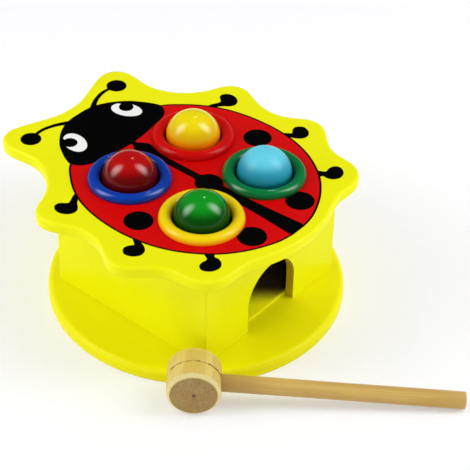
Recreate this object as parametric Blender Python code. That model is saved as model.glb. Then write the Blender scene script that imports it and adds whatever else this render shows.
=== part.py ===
"""Ball pounding bench: a ladybird shaped top plate on a walled box, four balls held in
snap collars, a ramp that leads to an arched door, and a loose mallet.

Units are metres, +Z is up, and the arched door faces -Y. The origin lies at the centre
of the underside of the round base board.
"""
import math

import bmesh
import bpy
from mathutils import Matrix, Vector

mm = 0.001

# General clearances and edge work
joint_gap = 0.2 * mm
slide_gap = 0.3 * mm
seat_gap = 0.15 * mm
board_edge_round = 0.8 * mm
edge_round_steps = 2
sharp_edge_angle = math.radians(38)
cutter_reach = 5 * mm

# Round base board
base_radius = 110 * mm
base_thickness = 10 * mm
base_top_round = 4.5 * mm
base_bottom_round = 1.2 * mm
base_segments = 80
base_round_steps = 3

# Walls of the box
box_side = 143 * mm
wall_thickness = 7 * mm
wall_height = 80 * mm
wall_edge_round = 0.5 * mm
arch_half_width = 25.5 * mm
arch_spring_height = 23.5 * mm
arch_steps = 20

# Top plate, whose outline is half of a shape mirrored about X = 0
plate_thickness = 10 * mm
plate_half_width = 111.3 * mm
plate_head_reach = 140.8 * mm
plate_edge_round = 2.8 * mm
plate_round_steps = 2
outline_steps = 2
plate_outline_shares = (
    (0.000, 0.906), (0.090, 0.911), (0.180, 0.932), (0.279, 0.962),
    (0.373, 0.990), (0.449, 1.000), (0.526, 0.980), (0.573, 0.927),
    (0.580, 0.859), (0.568, 0.792), (0.565, 0.724), (0.584, 0.658),
    (0.629, 0.589), (0.701, 0.524), (0.786, 0.477), (0.872, 0.449),
    (0.934, 0.416), (0.970, 0.366), (0.969, 0.309), (0.939, 0.249),
    (0.907, 0.188), (0.888, 0.124), (0.889, 0.057), (0.915, -0.007),
    (0.959, -0.064), (0.995, -0.121), (0.994, -0.181), (0.957, -0.234),
    (0.897, -0.284), (0.841, -0.337), (0.809, -0.398), (0.799, -0.465),
    (0.785, -0.529), (0.739, -0.586), (0.660, -0.621), (0.571, -0.628),
    (0.481, -0.628), (0.386, -0.648), (0.279, -0.680), (0.144, -0.707),
    (0.000, -0.717),
)

# Balls and the holes that hold them
ball_radius = 20 * mm
ball_spacing = 68 * mm
ball_rise = 1.5 * mm
ball_segments = 24
ball_rings = 14

# Collar: a bead on the plate, a sleeve through it and a snap ridge below it
bead_radius = 30.5 * mm
bead_height = 5 * mm
bead_crest_radius = 26 * mm
mouth_radius = 21.4 * mm
mouth_depth = 2 * mm
sleeve_radius = 25 * mm
sleeve_wall = 1.8 * mm
sleeve_depth = 12 * mm
ridge_reach = 0.9 * mm
ridge_drop = 0.3 * mm
bead_steps = 3
collar_segments = 32

# Grip ring inside the collar: a band with spring fingers whose lips carry the ball
grip_band_height = 4.2 * mm
grip_mouth_radius = 21 * mm
grip_lip_depth = 8.4 * mm
grip_tip_depth = 12.6 * mm
grip_finger_thickness = 1.7 * mm
grip_shoulder_drop = 1.7 * mm
grip_tip_flare = 0.5 * mm
grip_fingers = 8
grip_slot_width = 1.8 * mm
grip_segments = 24

# Ramp board, the batten under its high end and the two guide blocks
ramp_slope = math.radians(15)
ramp_thickness = 5 * mm
ramp_front_lip = 1.7 * mm
batten_depth = 8 * mm
batten_height = 10 * mm
batten_side_gap = 4 * mm
guide_run = 31.3 * mm
guide_top_height = 32 * mm

# Screws up through the base into the walls
screw_spread = 45 * mm
screw_shank_radius = 1.7 * mm
screw_head_radius = 3.4 * mm
screw_head_depth = 2.4 * mm
screw_recess = 0.4 * mm
screw_length = 28 * mm
screw_point_length = 3 * mm
screw_segments = 12

# Blind dowels between the walls and the top plate
dowel_spread = 34 * mm
dowel_radius = 2 * mm
dowel_wall_depth = 9 * mm
dowel_plate_depth = 5.5 * mm
dowel_segments = 12

# Mallet, lying close to the rim of the base with the end of its handle on the floor
mallet_head_radius = 19 * mm
mallet_head_length = 30 * mm
mallet_head_chamfer = 2.5 * mm
mallet_groove_half_width = 0.7 * mm
mallet_groove_depth = 0.6 * mm
mallet_gap = 0.4 * mm
mallet_bearing = math.radians(220.6)
mallet_turn = math.radians(39.7)
handle_radius = 6.2 * mm
handle_reach = 188.5 * mm
handle_tail = 8 * mm
handle_chamfer = 0.6 * mm
head_segments = 32
handle_segments = 20

plate_top = base_thickness + wall_height + plate_thickness
wall_foot = base_thickness + joint_gap
wall_head = base_thickness + wall_height - joint_gap
half_box = box_side / 2
inner_half = half_box - wall_thickness
wall_middle = half_box - wall_thickness / 2
mitre_relief = joint_gap * math.sqrt(0.5)
# The mallet clears the rim of the base, and the corner of the box if that reaches further
box_corner_reach = half_box * math.sqrt(2)
mallet_distance = max(base_radius, box_corner_reach) + mallet_gap + mallet_head_length / 2

full_turn = 2 * math.pi


def new_mesh(name, bm):
    """Turn a bmesh into mesh data with outward faces and smooth shading on soft edges."""
    bmesh.ops.recalc_face_normals(bm, faces=bm.faces)
    mesh = bpy.data.meshes.new(name)
    bm.to_mesh(mesh)
    bm.free()
    mesh.shade_smooth()
    mesh.set_sharp_from_angle(angle=sharp_edge_angle)
    return mesh


def make_material(name, colour, roughness):
    """Make a Principled material for one sub-part."""
    material = bpy.data.materials.new(name)
    material.use_nodes = True
    shader = material.node_tree.nodes["Principled BSDF"]
    shader.inputs["Base Color"].default_value = (*colour, 1.0)
    shader.inputs["Roughness"].default_value = roughness
    shader.inputs["Metallic"].default_value = 0.0
    material.diffuse_color = (*colour, 1.0)
    return material


def add_part(name, mesh, material, place, turn=(0.0, 0.0, 0.0), parent=None):
    """Add a named sub-part to the scene."""
    part = bpy.data.objects.new(name, mesh)
    bpy.context.scene.collection.objects.link(part)
    if not mesh.materials:
        mesh.materials.append(material)
    part.material_slots[0].link = "OBJECT"
    part.material_slots[0].material = material
    part.location = place
    part.rotation_euler = turn
    part.parent = parent
    return part


def add_cutter(name, bm, place=(0.0, 0.0, 0.0)):
    """Add a hidden shape that is only subtracted from other parts."""
    bmesh.ops.recalc_face_normals(bm, faces=bm.faces)
    mesh = bpy.data.meshes.new(name)
    bm.to_mesh(mesh)
    bm.free()
    cutter = bpy.data.objects.new(name, mesh)
    bpy.context.scene.collection.objects.link(cutter)
    cutter.location = place
    cutter.hide_render = True
    cutter.display_type = "WIRE"
    return cutter


def cut(part, cutter):
    """Subtract a cutter from a part."""
    modifier = part.modifiers.new("cut", "BOOLEAN")
    modifier.operation = "DIFFERENCE"
    modifier.solver = "EXACT"
    modifier.object = cutter


def round_edges(part, width, steps):
    """Round the sharp edges of a part."""
    modifier = part.modifiers.new("rounding", "BEVEL")
    modifier.width = width
    modifier.segments = steps
    modifier.limit_method = "ANGLE"
    modifier.angle_limit = math.radians(50)
    modifier.use_clamp_overlap = False
    modifier.harden_normals = False


def turned(section, segments, bm=None, place=(0.0, 0.0, 0.0)):
    """Turn a section of (radius, height) points about Z into a closed solid.

    A section whose ends lie on the axis gives a solid body. A section that stays off
    the axis is closed on itself and gives a ring.
    """
    bm = bm or bmesh.new()
    centre = Vector(place)
    verts = [bm.verts.new(centre + Vector((radius, 0.0, height))) for radius, height in section]
    edges = [bm.edges.new(pair) for pair in zip(verts, verts[1:])]
    on_axis = section[0][0] == 0.0 and section[-1][0] == 0.0
    if not on_axis:
        edges.append(bm.edges.new((verts[-1], verts[0])))
    bmesh.ops.spin(
        bm,
        geom=verts + edges,
        cent=centre,
        axis=(0.0, 0.0, 1.0),
        angle=full_turn,
        steps=segments,
        use_merge=True,
        use_duplicate=False,
    )
    bmesh.ops.remove_doubles(bm, verts=bm.verts, dist=0.001 * mm)
    return bm


def prism(outline, low, high, bm=None):
    """Extrude a flat outline of (x, y) points from the low to the high level."""
    bm = bm or bmesh.new()
    verts = [bm.verts.new((x, y, low)) for x, y in outline]
    face = bm.faces.new(verts)
    raised = bmesh.ops.extrude_face_region(bm, geom=[face])["geom"]
    tops = [item for item in raised if isinstance(item, bmesh.types.BMVert)]
    bmesh.ops.translate(bm, verts=tops, vec=(0.0, 0.0, high - low))
    return bm


def arc(centre, radius, start, stop, steps):
    """List points on a circle from one angle to another."""
    points = []
    for step in range(steps + 1):
        angle = start + (stop - start) * step / steps
        x = centre[0] + radius * math.cos(angle)
        y = centre[1] + radius * math.sin(angle)
        points.append((x, y))
    return points


def closed_curve(points, steps):
    """Run a smooth closed curve through all of the points."""
    count = len(points)
    curve = []
    for index in range(count):
        before = Vector(points[index - 1])
        here = Vector(points[index])
        after = Vector(points[(index + 1) % count])
        beyond = Vector(points[(index + 2) % count])
        for step in range(steps):
            t = step / steps
            line = 2 * here + (after - before) * t
            bend = (2 * before - 5 * here + 4 * after - beyond) * t**2
            swing = (3 * here - before - 3 * after + beyond) * t**3
            curve.append(tuple((line + bend + swing) / 2))
    return curve


def plate_outline():
    """Give the whole outline of the top plate, running once round it."""
    half = []
    for x_share, y_share in plate_outline_shares:
        half.append((x_share * plate_half_width, y_share * plate_head_reach))
    mirrored = [(-x, y) for x, y in reversed(half[1:-1])]
    return closed_curve(half + mirrored, outline_steps)


def mitred_board(height):
    """Make a plain wall board on its lower edge, its outer face to -Y, its ends mitred."""
    half = half_box - mitre_relief
    inner = half - wall_thickness
    thin = wall_thickness / 2
    outline = [(-half, -thin), (half, -thin), (inner, thin), (-inner, thin)]
    return prism(outline, 0.0, height)


def arch_board(height):
    """Make the mitred wall board with the arched door cut up from its lower edge."""
    half = half_box - mitre_relief
    spring = arch_spring_height - joint_gap
    outline = [(half, 0.0), (half, height), (-half, height), (-half, 0.0)]
    outline.append((-arch_half_width, 0.0))
    outline += arc((0.0, spring), arch_half_width, math.pi, 0.0, arch_steps)
    outline.append((arch_half_width, 0.0))
    bm = prism(outline, -wall_thickness / 2, wall_thickness / 2)
    upright = Matrix.Rotation(math.radians(90), 3, "X")
    bmesh.ops.rotate(bm, verts=bm.verts, cent=(0.0, 0.0, 0.0), matrix=upright)
    for vert in bm.verts:
        if abs(vert.co.x) > arch_half_width + wall_thickness and vert.co.y > 0.0:
            vert.co.x -= math.copysign(wall_thickness, vert.co.x)
    return bm


def wall_places():
    """Give each wall's name, middle and turn, which faces its outer side outwards."""
    quarter = math.radians(90)
    return (
        ("front_wall", Vector((0.0, -wall_middle, 0.0)), 0.0),
        ("back_wall", Vector((0.0, wall_middle, 0.0)), 2 * quarter),
        ("left_wall", Vector((-wall_middle, 0.0, 0.0)), -quarter),
        ("right_wall", Vector((wall_middle, 0.0, 0.0)), quarter),
    )


def fastener_places(spread):
    """Give two places along each wall, one on either side of its middle."""
    places = []
    for _, middle, turn in wall_places():
        along = Matrix.Rotation(turn, 3, "Z") @ Vector((spread, 0.0, 0.0))
        places.append(middle - along)
        places.append(middle + along)
    return places


def screw_section(gap):
    """Outline a countersunk screw on its axis, or its hole when a gap is given."""
    shank = screw_shank_radius + gap
    head = screw_head_radius + gap
    point = screw_length - screw_point_length
    section = [(0.0, 0.0), (head, 0.0), (shank, screw_head_depth)]
    section += [(shank, point), (0.0, screw_length + gap)]
    return section


def screw_hole_section():
    """Outline the hole for a screw, open at the underside of the base."""
    section = screw_section(slide_gap)
    head = section[1][0]
    outside = [(0.0, -cutter_reach), (head, -cutter_reach)]
    return outside + section[1:]


def ramp_height(y):
    """Give the level of the ramp's upper face at a place along the bench."""
    front = wall_foot + ramp_front_lip
    return front + (y + inner_half - joint_gap) * math.tan(ramp_slope)


def ball_places():
    """Give the plan position of each ball with its colours: ball, collar, x and y."""
    half = ball_spacing / 2
    return (
        ("red_ball", "blue_collar", -half, half),
        ("yellow_ball", "red_collar", half, half),
        ("green_ball", "yellow_collar", -half, -half),
        ("light_blue_ball", "green_collar", half, -half),
    )


def collar_section():
    """Outline the collar's wall: bead, sleeve, inner shoulder and snap ridge."""
    inside = sleeve_radius - sleeve_wall
    outer_reach = bead_radius - bead_crest_radius
    inner_reach = bead_crest_radius - mouth_radius
    section = [(bead_radius, seat_gap)]
    for step in range(1, bead_steps + 1):
        angle = math.radians(90) * step / bead_steps
        radius = bead_crest_radius + outer_reach * math.cos(angle)
        section.append((radius, bead_height * math.sin(angle)))
    for step in range(1, bead_steps + 1):
        angle = math.radians(90) * step / bead_steps
        radius = bead_crest_radius - inner_reach * math.sin(angle)
        section.append((radius, bead_height * math.cos(angle)))
    below_plate = plate_thickness + ridge_drop
    section += [
        (mouth_radius, -mouth_depth),
        (inside, -mouth_depth),
        (inside, -sleeve_depth),
        (sleeve_radius, -sleeve_depth),
        (sleeve_radius + ridge_reach, -below_plate),
        (sleeve_radius, -below_plate),
        (sleeve_radius, seat_gap),
    ]
    return section


def grip_section():
    """Outline the grip ring's wall: band, finger, ball lip and flared tip."""
    outside = sleeve_radius - sleeve_wall - slide_gap
    top = -mouth_depth - slide_gap
    band_foot = top - grip_band_height
    reach = ball_radius + slide_gap
    lip_radius = math.sqrt(reach**2 - (ball_rise + grip_lip_depth) ** 2)
    tip_radius = lip_radius + grip_tip_flare
    lip_back = lip_radius + grip_finger_thickness
    return [
        (outside, top),
        (grip_mouth_radius, top),
        (grip_mouth_radius, top - grip_shoulder_drop),
        (lip_radius, -grip_lip_depth),
        (lip_radius, -grip_lip_depth - seat_gap * 4),
        (tip_radius, -grip_tip_depth),
        (tip_radius + grip_finger_thickness, -grip_tip_depth),
        (lip_back, -grip_lip_depth - grip_finger_thickness),
        (outside, band_foot),
    ]


def grip_slots():
    """Make one short block for each slot between two fingers."""
    bm = bmesh.new()
    inner = ball_radius / 2
    outer = sleeve_radius
    half = grip_slot_width / 2
    low = -grip_tip_depth - cutter_reach
    high = -mouth_depth - slide_gap - grip_band_height * 2 / 3
    for index in range(grip_fingers):
        turn = Matrix.Rotation(full_turn * (index + 0.5) / grip_fingers, 2)
        corners = ((inner, -half), (outer, -half), (outer, half), (inner, half))
        outline = [tuple(turn @ Vector(corner)) for corner in corners]
        prism(outline, low, high, bm)
    return bm


def remove_everything():
    """Empty the scene that Blender opens with."""
    for old in list(bpy.data.objects):
        bpy.data.objects.remove(old, do_unlink=True)


def build_base(paint):
    """Add the round base board with its screw holes."""
    top = base_thickness
    section = [(0.0, 0.0)]
    low_centre = (base_radius - base_bottom_round, base_bottom_round)
    section += arc(low_centre, base_bottom_round, -math.pi / 2, 0.0, 1)
    high_centre = (base_radius - base_top_round, top - base_top_round)
    section += arc(high_centre, base_top_round, 0.0, math.pi / 2, base_round_steps)
    section.append((0.0, top))
    mesh = new_mesh("base_disc", turned(section, base_segments))
    base = add_part("base_disc", mesh, paint, (0.0, 0.0, 0.0))
    return base


def build_walls(paint):
    """Add the four walls of the box and return them."""
    height = wall_head - wall_foot
    walls = []
    for name, middle, turn in wall_places():
        board = arch_board(height) if name == "front_wall" else mitred_board(height)
        mesh = new_mesh(name, board)
        place = (middle.x, middle.y, wall_foot)
        wall = add_part(name, mesh, paint, place, (0.0, 0.0, turn))
        round_edges(wall, wall_edge_round, edge_round_steps)
        walls.append(wall)
    return walls


def build_plate(paint):
    """Add the shaped top plate with its four ball holes."""
    mesh = new_mesh("top_plate", prism(plate_outline(), 0.0, plate_thickness))
    plate = add_part("top_plate", mesh, paint, (0.0, 0.0, plate_top - plate_thickness))
    round_edges(plate, plate_edge_round, plate_round_steps)
    bm = bmesh.new()
    radius = sleeve_radius + slide_gap
    section = [
        (0.0, -cutter_reach),
        (radius, -cutter_reach),
        (radius, plate_thickness + cutter_reach),
        (0.0, plate_thickness + cutter_reach),
    ]
    for _, _, x, y in ball_places():
        turned(section, collar_segments, bm, (x, y, 0.0))
    holes = add_cutter("ball_hole_cutter", bm, (0.0, 0.0, plate_top - plate_thickness))
    cut(plate, holes)
    return plate


def build_ramp(paint, bare_wood):
    """Add the ramp board, and the batten and the two guide blocks in bare wood."""
    reach = inner_half - joint_gap
    drop = ramp_thickness / math.cos(ramp_slope)
    front = (-reach, wall_foot)
    front_top = (-reach, ramp_height(-reach))
    back_top = (reach, ramp_height(reach))
    back_low = (reach, ramp_height(reach) - drop)
    heel = -reach + (drop - ramp_front_lip) / math.tan(ramp_slope)
    outline = [front, (heel, wall_foot), back_low, back_top, front_top]
    bm = prism(outline, -reach, reach)
    stand = Matrix(((0.0, 0.0, 1.0), (1.0, 0.0, 0.0), (0.0, 1.0, 0.0)))
    bmesh.ops.rotate(bm, verts=bm.verts, cent=(0.0, 0.0, 0.0), matrix=stand)
    add_part("ramp_board", new_mesh("ramp_board", bm), paint, (0.0, 0.0, 0.0))

    half = reach - batten_side_gap
    front_face = reach - batten_depth
    top = ramp_height(front_face) - drop - joint_gap
    corners = [(-half, front_face), (half, front_face), (half, reach), (-half, reach)]
    bm = prism(corners, -batten_height, 0.0)
    mesh = new_mesh("ramp_batten", bm)
    batten = add_part("ramp_batten", mesh, bare_wood, (0.0, 0.0, top))
    round_edges(batten, board_edge_round, edge_round_steps)

    for name, side in (("left_guide", -1), ("right_guide", 1)):
        corner = (side * reach, -reach)
        door_end = (side * (reach - guide_run), -reach)
        wall_end = (side * reach, -reach + guide_run)
        bm = prism([corner, door_end, wall_end], 0.0, guide_top_height)
        for vert in bm.verts:
            if vert.co.z == 0.0:
                vert.co.z = ramp_height(vert.co.y) + joint_gap
        add_part(name, new_mesh(name, bm), bare_wood, (0.0, 0.0, 0.0))


def build_collars(paints):
    """Add the collars, their grip rings and the balls."""
    collar_mesh = new_mesh("collar", turned(collar_section(), collar_segments))
    grip_mesh = new_mesh("grip_ring", turned(grip_section(), grip_segments))
    section = []
    for step in range(ball_rings + 1):
        angle = math.pi * step / ball_rings
        radius = ball_radius * math.sin(angle)
        section.append((radius, -ball_radius * math.cos(angle)))
    section[0] = (0.0, -ball_radius)
    section[-1] = (0.0, ball_radius)
    ball_mesh = new_mesh("ball", turned(section, ball_segments))
    for ball, collar, x, y in ball_places():
        place = (x, y, plate_top)
        add_part(collar, collar_mesh, paints[collar], place)
        grip = add_part(collar + "_grip", grip_mesh, paints["grip"], place)
        slots = add_cutter(collar + "_grip_cutter", grip_slots(), place)
        cut(grip, slots)
        add_part(ball, ball_mesh, paints[ball], (x, y, plate_top + ball_rise))


def build_screws(steel, base, walls):
    """Add the base screws and cut their holes."""
    mesh = new_mesh("base_screw", turned(screw_section(0.0), screw_segments))
    places = fastener_places(screw_spread)
    bm = bmesh.new()
    for place in places:
        turned(screw_hole_section(), screw_segments, bm, place)
    holes = add_cutter("screw_hole_cutter", bm, (0.0, 0.0, screw_recess))
    for part in (base, *walls):
        cut(part, holes)
    for number, place in enumerate(places, start=1):
        spot = (place.x, place.y, screw_recess)
        add_part(f"base_screw_{number}", mesh, steel, spot)


def build_dowels(wood, plate, walls):
    """Add the blind dowels and cut their holes in the walls and the plate."""
    low = wall_head - dowel_wall_depth
    high = plate_top - plate_thickness + dowel_plate_depth
    places = fastener_places(dowel_spread)
    bm = bmesh.new()
    wide = dowel_radius + slide_gap / 2
    hole = [(0.0, low), (wide, low), (wide, high), (0.0, high)]
    for place in places:
        turned(hole, dowel_segments, bm, place)
    holes = add_cutter("dowel_hole_cutter", bm)
    for part in (plate, *walls):
        cut(part, holes)
    length = high - low - 2 * slide_gap
    section = [(0.0, 0.0), (dowel_radius, 0.0), (dowel_radius, length), (0.0, length)]
    mesh = new_mesh("plate_dowel", turned(section, dowel_segments))
    for number, place in enumerate(places, start=1):
        spot = (place.x, place.y, low + slide_gap)
        add_part(f"plate_dowel_{number}", mesh, wood, spot)


def build_mallet(head_wood, handle_wood):
    """Add the mallet under one empty that sets how it lies on the floor."""
    x = mallet_distance * math.cos(mallet_bearing)
    y = mallet_distance * math.sin(mallet_bearing)
    tilt = math.asin((mallet_head_radius - handle_radius) / handle_reach)
    pose = bpy.data.objects.new("mallet_pose", None)
    bpy.context.scene.collection.objects.link(pose)
    pose.location = (x, y, mallet_head_radius)
    pose.rotation_euler = (tilt, 0.0, mallet_turn)

    half = mallet_head_length / 2
    narrow = mallet_head_radius - mallet_head_chamfer
    groove = mallet_head_radius - mallet_groove_depth
    wide = mallet_groove_half_width
    section = [
        (0.0, -half),
        (narrow, -half),
        (mallet_head_radius, -half + mallet_head_chamfer),
        (mallet_head_radius, -wide),
        (groove, 0.0),
        (mallet_head_radius, wide),
        (mallet_head_radius, half - mallet_head_chamfer),
        (narrow, half),
        (0.0, half),
    ]
    bm = turned(section, head_segments)
    along_x = Matrix.Rotation(math.radians(90), 3, "Y")
    bmesh.ops.rotate(bm, verts=bm.verts, cent=(0.0, 0.0, 0.0), matrix=along_x)
    mesh = new_mesh("mallet_head", bm)
    head = add_part("mallet_head", mesh, head_wood, (0.0, 0.0, 0.0), parent=pose)

    rim = handle_radius - handle_chamfer
    section = [
        (0.0, -handle_tail),
        (rim, -handle_tail),
        (handle_radius, -handle_tail + handle_chamfer),
        (handle_radius, handle_reach - handle_chamfer),
        (rim, handle_reach),
        (0.0, handle_reach),
    ]
    along_y = Matrix.Rotation(math.radians(90), 3, "X")
    bm = turned(section, handle_segments)
    bmesh.ops.rotate(bm, verts=bm.verts, cent=(0.0, 0.0, 0.0), matrix=along_y)
    mesh = new_mesh("mallet_handle", bm)
    add_part("mallet_handle", mesh, handle_wood, (0.0, 0.0, 0.0), parent=pose)

    wide = handle_radius + joint_gap
    low = -handle_tail - joint_gap
    section = [(0.0, low), (wide, low), (wide, handle_reach), (0.0, handle_reach)]
    bm = turned(section, handle_segments)
    bmesh.ops.rotate(bm, verts=bm.verts, cent=(0.0, 0.0, 0.0), matrix=along_y)
    hole = add_cutter("handle_hole_cutter", bm)
    hole.parent = pose
    cut(head, hole)


def build():
    """Build the whole bench."""
    remove_everything()
    yellow_paint = make_material("yellow_paint", (0.87, 0.83, 0.012), 0.32)
    plain_wood = make_material("plain_wood", (0.62, 0.46, 0.26), 0.6)
    paints = {
        "blue_collar": make_material("blue_plastic", (0.012, 0.065, 0.36), 0.2),
        "red_collar": make_material("red_plastic", (0.6, 0.006, 0.006), 0.2),
        "yellow_collar": make_material("yellow_plastic", (0.87, 0.6, 0.006), 0.2),
        "green_collar": make_material("green_plastic", (0.01, 0.2, 0.05), 0.2),
        "red_ball": make_material("red_lacquer", (0.4, 0.006, 0.006), 0.16),
        "yellow_ball": make_material("yellow_lacquer", (0.84, 0.62, 0.006), 0.18),
        "green_ball": make_material("green_lacquer", (0.015, 0.24, 0.025), 0.16),
        "light_blue_ball": make_material("light_blue_lacquer", (0.1, 0.52, 0.68), 0.35),
        "grip": make_material("grip_plastic", (0.05, 0.05, 0.055), 0.45),
    }
    base = build_base(yellow_paint)
    walls = build_walls(yellow_paint)
    plate = build_plate(yellow_paint)
    build_ramp(yellow_paint, plain_wood)
    build_collars(paints)
    build_screws(make_material("screw_steel", (0.55, 0.55, 0.57), 0.35), base, walls)
    build_dowels(plain_wood, plate, walls)
    build_mallet(
        make_material("mallet_head_wood", (0.66, 0.5, 0.28), 0.5),
        make_material("mallet_handle_wood", (0.68, 0.51, 0.27), 0.5),
    )


build()
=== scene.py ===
"""Ladybird pounding bench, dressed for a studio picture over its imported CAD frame.

Every length is in metres. The arched door faces -Y, the ladybird's head points to +Y,
and the origin is the centre of the underside of the round base board.
"""

import logging
import math
from collections.abc import Sequence
from dataclasses import dataclass
from enum import Enum
from functools import cache
from typing import ClassVar

import bmesh
import bpy
import numpy as np
from mathutils import Euler, Matrix, Vector
from mathutils.geometry import delaunay_2d_cdt


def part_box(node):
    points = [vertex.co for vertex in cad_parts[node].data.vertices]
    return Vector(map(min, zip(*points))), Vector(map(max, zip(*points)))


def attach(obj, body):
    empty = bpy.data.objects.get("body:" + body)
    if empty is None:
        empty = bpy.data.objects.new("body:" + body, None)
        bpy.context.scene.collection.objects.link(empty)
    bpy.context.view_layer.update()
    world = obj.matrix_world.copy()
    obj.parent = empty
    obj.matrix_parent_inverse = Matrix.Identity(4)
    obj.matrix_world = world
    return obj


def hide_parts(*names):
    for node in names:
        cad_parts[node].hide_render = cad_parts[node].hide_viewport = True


BMesh = bmesh.types.BMesh
Material = bpy.types.Material
Mesh = bpy.types.Mesh
Node = bpy.types.Node
NodeTree = bpy.types.NodeTree
Object = bpy.types.Object
Socket = bpy.types.NodeSocket
Colour = tuple[float, float, float]
Point = tuple[float, float]
Outline = list[Point]
Triple = tuple[float, float, float]

MM = 0.001
FULL_TURN = 2.0 * math.pi
QUARTER_TURN = math.radians(90)
MIDDLE = (0.0, 0.0)
WELD = 1e-7
MEET = 1e-8
COLLARS = ("blue", "red", "yellow", "green")
COLLAR_HOLE_STEPS = 72
SCREW_STEPS = 24
EASED_STEPS = 3
EASED_ANGLE = math.radians(30)
SHARP_DEGREES = 32.0
LOG = logging.getLogger("pounding_bench")

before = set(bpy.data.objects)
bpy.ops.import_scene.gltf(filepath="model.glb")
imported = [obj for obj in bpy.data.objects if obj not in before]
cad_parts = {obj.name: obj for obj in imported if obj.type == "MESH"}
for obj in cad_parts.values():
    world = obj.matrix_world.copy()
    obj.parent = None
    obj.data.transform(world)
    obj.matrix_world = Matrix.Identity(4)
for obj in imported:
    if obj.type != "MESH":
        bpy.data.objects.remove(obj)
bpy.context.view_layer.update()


class Ink(Enum):
    """The three inks of the printed ladybird, with the name of each print piece."""

    RED = "ladybird_red_ink"
    BLACK = "ladybird_black_ink"
    WHITE = "ladybird_white_ink"


class Body(Enum):
    """The CAD bodies that pieces ride on, besides the balls' own."""

    BENCH = "bench"
    MALLET = "mallet"


class WallFace(Enum):
    """Material index of each kind of face on a wall board."""

    PAINTED = 0
    BARE = 1
    SAWN = 2


# Shader graphs


class Graph:
    """Adds and links shader nodes in one node tree."""

    def __init__(self, tree: NodeTree) -> None:
        """Keep the tree that receives the nodes."""
        self.tree = tree

    def add(self, kind: str, **settings: object) -> Node:
        """Add one node.

        Args:
            kind: Blender's type name of the node, without the ShaderNode prefix.
            **settings: Node properties to set.

        Returns:
            The new node.
        """
        node = self.tree.nodes.new("ShaderNode" + kind)
        for name, value in settings.items():
            setattr(node, name, value)
        return node

    def put(self, source: object, target: Socket) -> None:
        """Link a socket to an input, or write a plain value into it.

        Args:
            source: An output socket, or a number, vector or colour.
            target: The input socket.
        """
        if isinstance(source, Socket):
            self.tree.links.new(source, target)
        elif isinstance(source, tuple) and target.type == "RGBA":
            target.default_value = (*source, 1.0)
        else:
            target.default_value = source

    def fill(self, node: Node, **values: object) -> Node:
        """Put values or sockets into a node's inputs.

        Args:
            node: The node.
            **values: Value or socket by input name, with _ for each space.

        Returns:
            The node.
        """
        for name, value in values.items():
            self.put(value, node.inputs[name.replace("_", " ")])
        return node

    def listed(self, node: Node, *values: object) -> Node:
        """Put values or sockets into a node's first inputs, in order.

        Args:
            node: The node.
            *values: The values or sockets.

        Returns:
            The node.
        """
        for value, target in zip(values, node.inputs):
            self.put(value, target)
        return node

    def math(self, operation: str, *values: object, clamp: bool = False) -> Socket:
        """Add a Math node, its result kept between 0 and 1 if asked, and give the result."""
        node = self.add("Math", operation=operation, use_clamp=clamp)
        return self.listed(node, *values).outputs[0]

    def times(self, first: object, second: object) -> Socket:
        """Multiply two numbers."""
        return self.math("MULTIPLY", first, second)

    def plus_share(self, base: object, mask: object, share: float) -> Socket:
        """Add a share of a mask to a number."""
        return self.math("MULTIPLY_ADD", mask, share, base)

    def distance(self, first: Socket, second: Socket) -> Socket:
        """Give the length across two steps at right angles."""
        square = self.math("MULTIPLY_ADD", first, first, self.times(second, second))
        return self.math("SQRT", square)

    def span(
        self, value: object, low: float, high: float, start: float = 0.0, end: float = 1.0
    ) -> Socket:
        """Map a value smoothly from the range low to high to the range start to end."""
        node = self.add("MapRange", interpolation_type="SMOOTHSTEP", clamp=True)
        return self.listed(node, value, low, high, start, end).outputs[0]

    def blend(self, factor: object, first: object, second: object) -> Socket:
        """Mix two numbers; the factor is the share of the second."""
        node = self.fill(self.add("Mix", data_type="FLOAT"), Factor=factor, A=first, B=second)
        return node.outputs[0]

    def mix(
        self, factor: object, first: object, second: object, blend: str = "MIX"
    ) -> Socket:
        """Mix two colours.

        Args:
            factor: Share of the second colour.
            first: First colour or socket.
            second: Second colour or socket.
            blend: The blending mode.

        Returns:
            The mixed colour's socket.
        """
        node = self.add("Mix", data_type="RGBA", blend_type=blend)
        for index, value in ((0, factor), (6, first), (7, second)):
            self.put(value, node.inputs[index])
        return node.outputs[2]

    def tinted(self, colour: object, *layers: tuple[object, float, object]) -> Socket:
        """Lay tints over a colour, one after another.

        Args:
            colour: The colour or socket below them.
            *layers: Mask, share and colour of each tint.

        Returns:
            The colour's socket.
        """
        for mask, share, tint in layers:
            colour = self.mix(self.times(mask, share), colour, tint)
        return colour

    def noise(
        self, vector: Socket, scale: object, detail: float, roughness: float,
        distortion: float = 0.0,
    ) -> Socket:
        """Add a noise texture; its scale is the number of features in a metre."""
        return self.fill(
            self.add("TexNoise"), Vector=vector, Scale=scale, Detail=detail,
            Roughness=roughness, Distortion=distortion,
        ).outputs[0]

    def scaled(self, vector: Socket, scales: Triple) -> Socket:
        """Stretch a vector along each axis."""
        return self.fill(self.add("Mapping"), Vector=vector, Scale=scales).outputs[0]

    def drawn_out(
        self, vector: Socket, scales: Triple, detail: float, roughness: float,
        distortion: float = 0.0,
    ) -> Socket:
        """Add noise with its own number of features in a metre along each axis."""
        return self.noise(self.scaled(vector, scales), 1.0, detail, roughness, distortion)

    def axes(self, vector: Socket) -> list[Socket]:
        """Split a vector into its X, Y and Z."""
        return list(self.listed(self.add("SeparateXYZ"), vector).outputs)

    def group(self, tree: NodeTree, **values: object) -> bpy.types.bpy_prop_collection:
        """Place a shader node group, fill its inputs by name and give its outputs."""
        return self.fill(self.add("Group", node_tree=tree), **values).outputs


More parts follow.
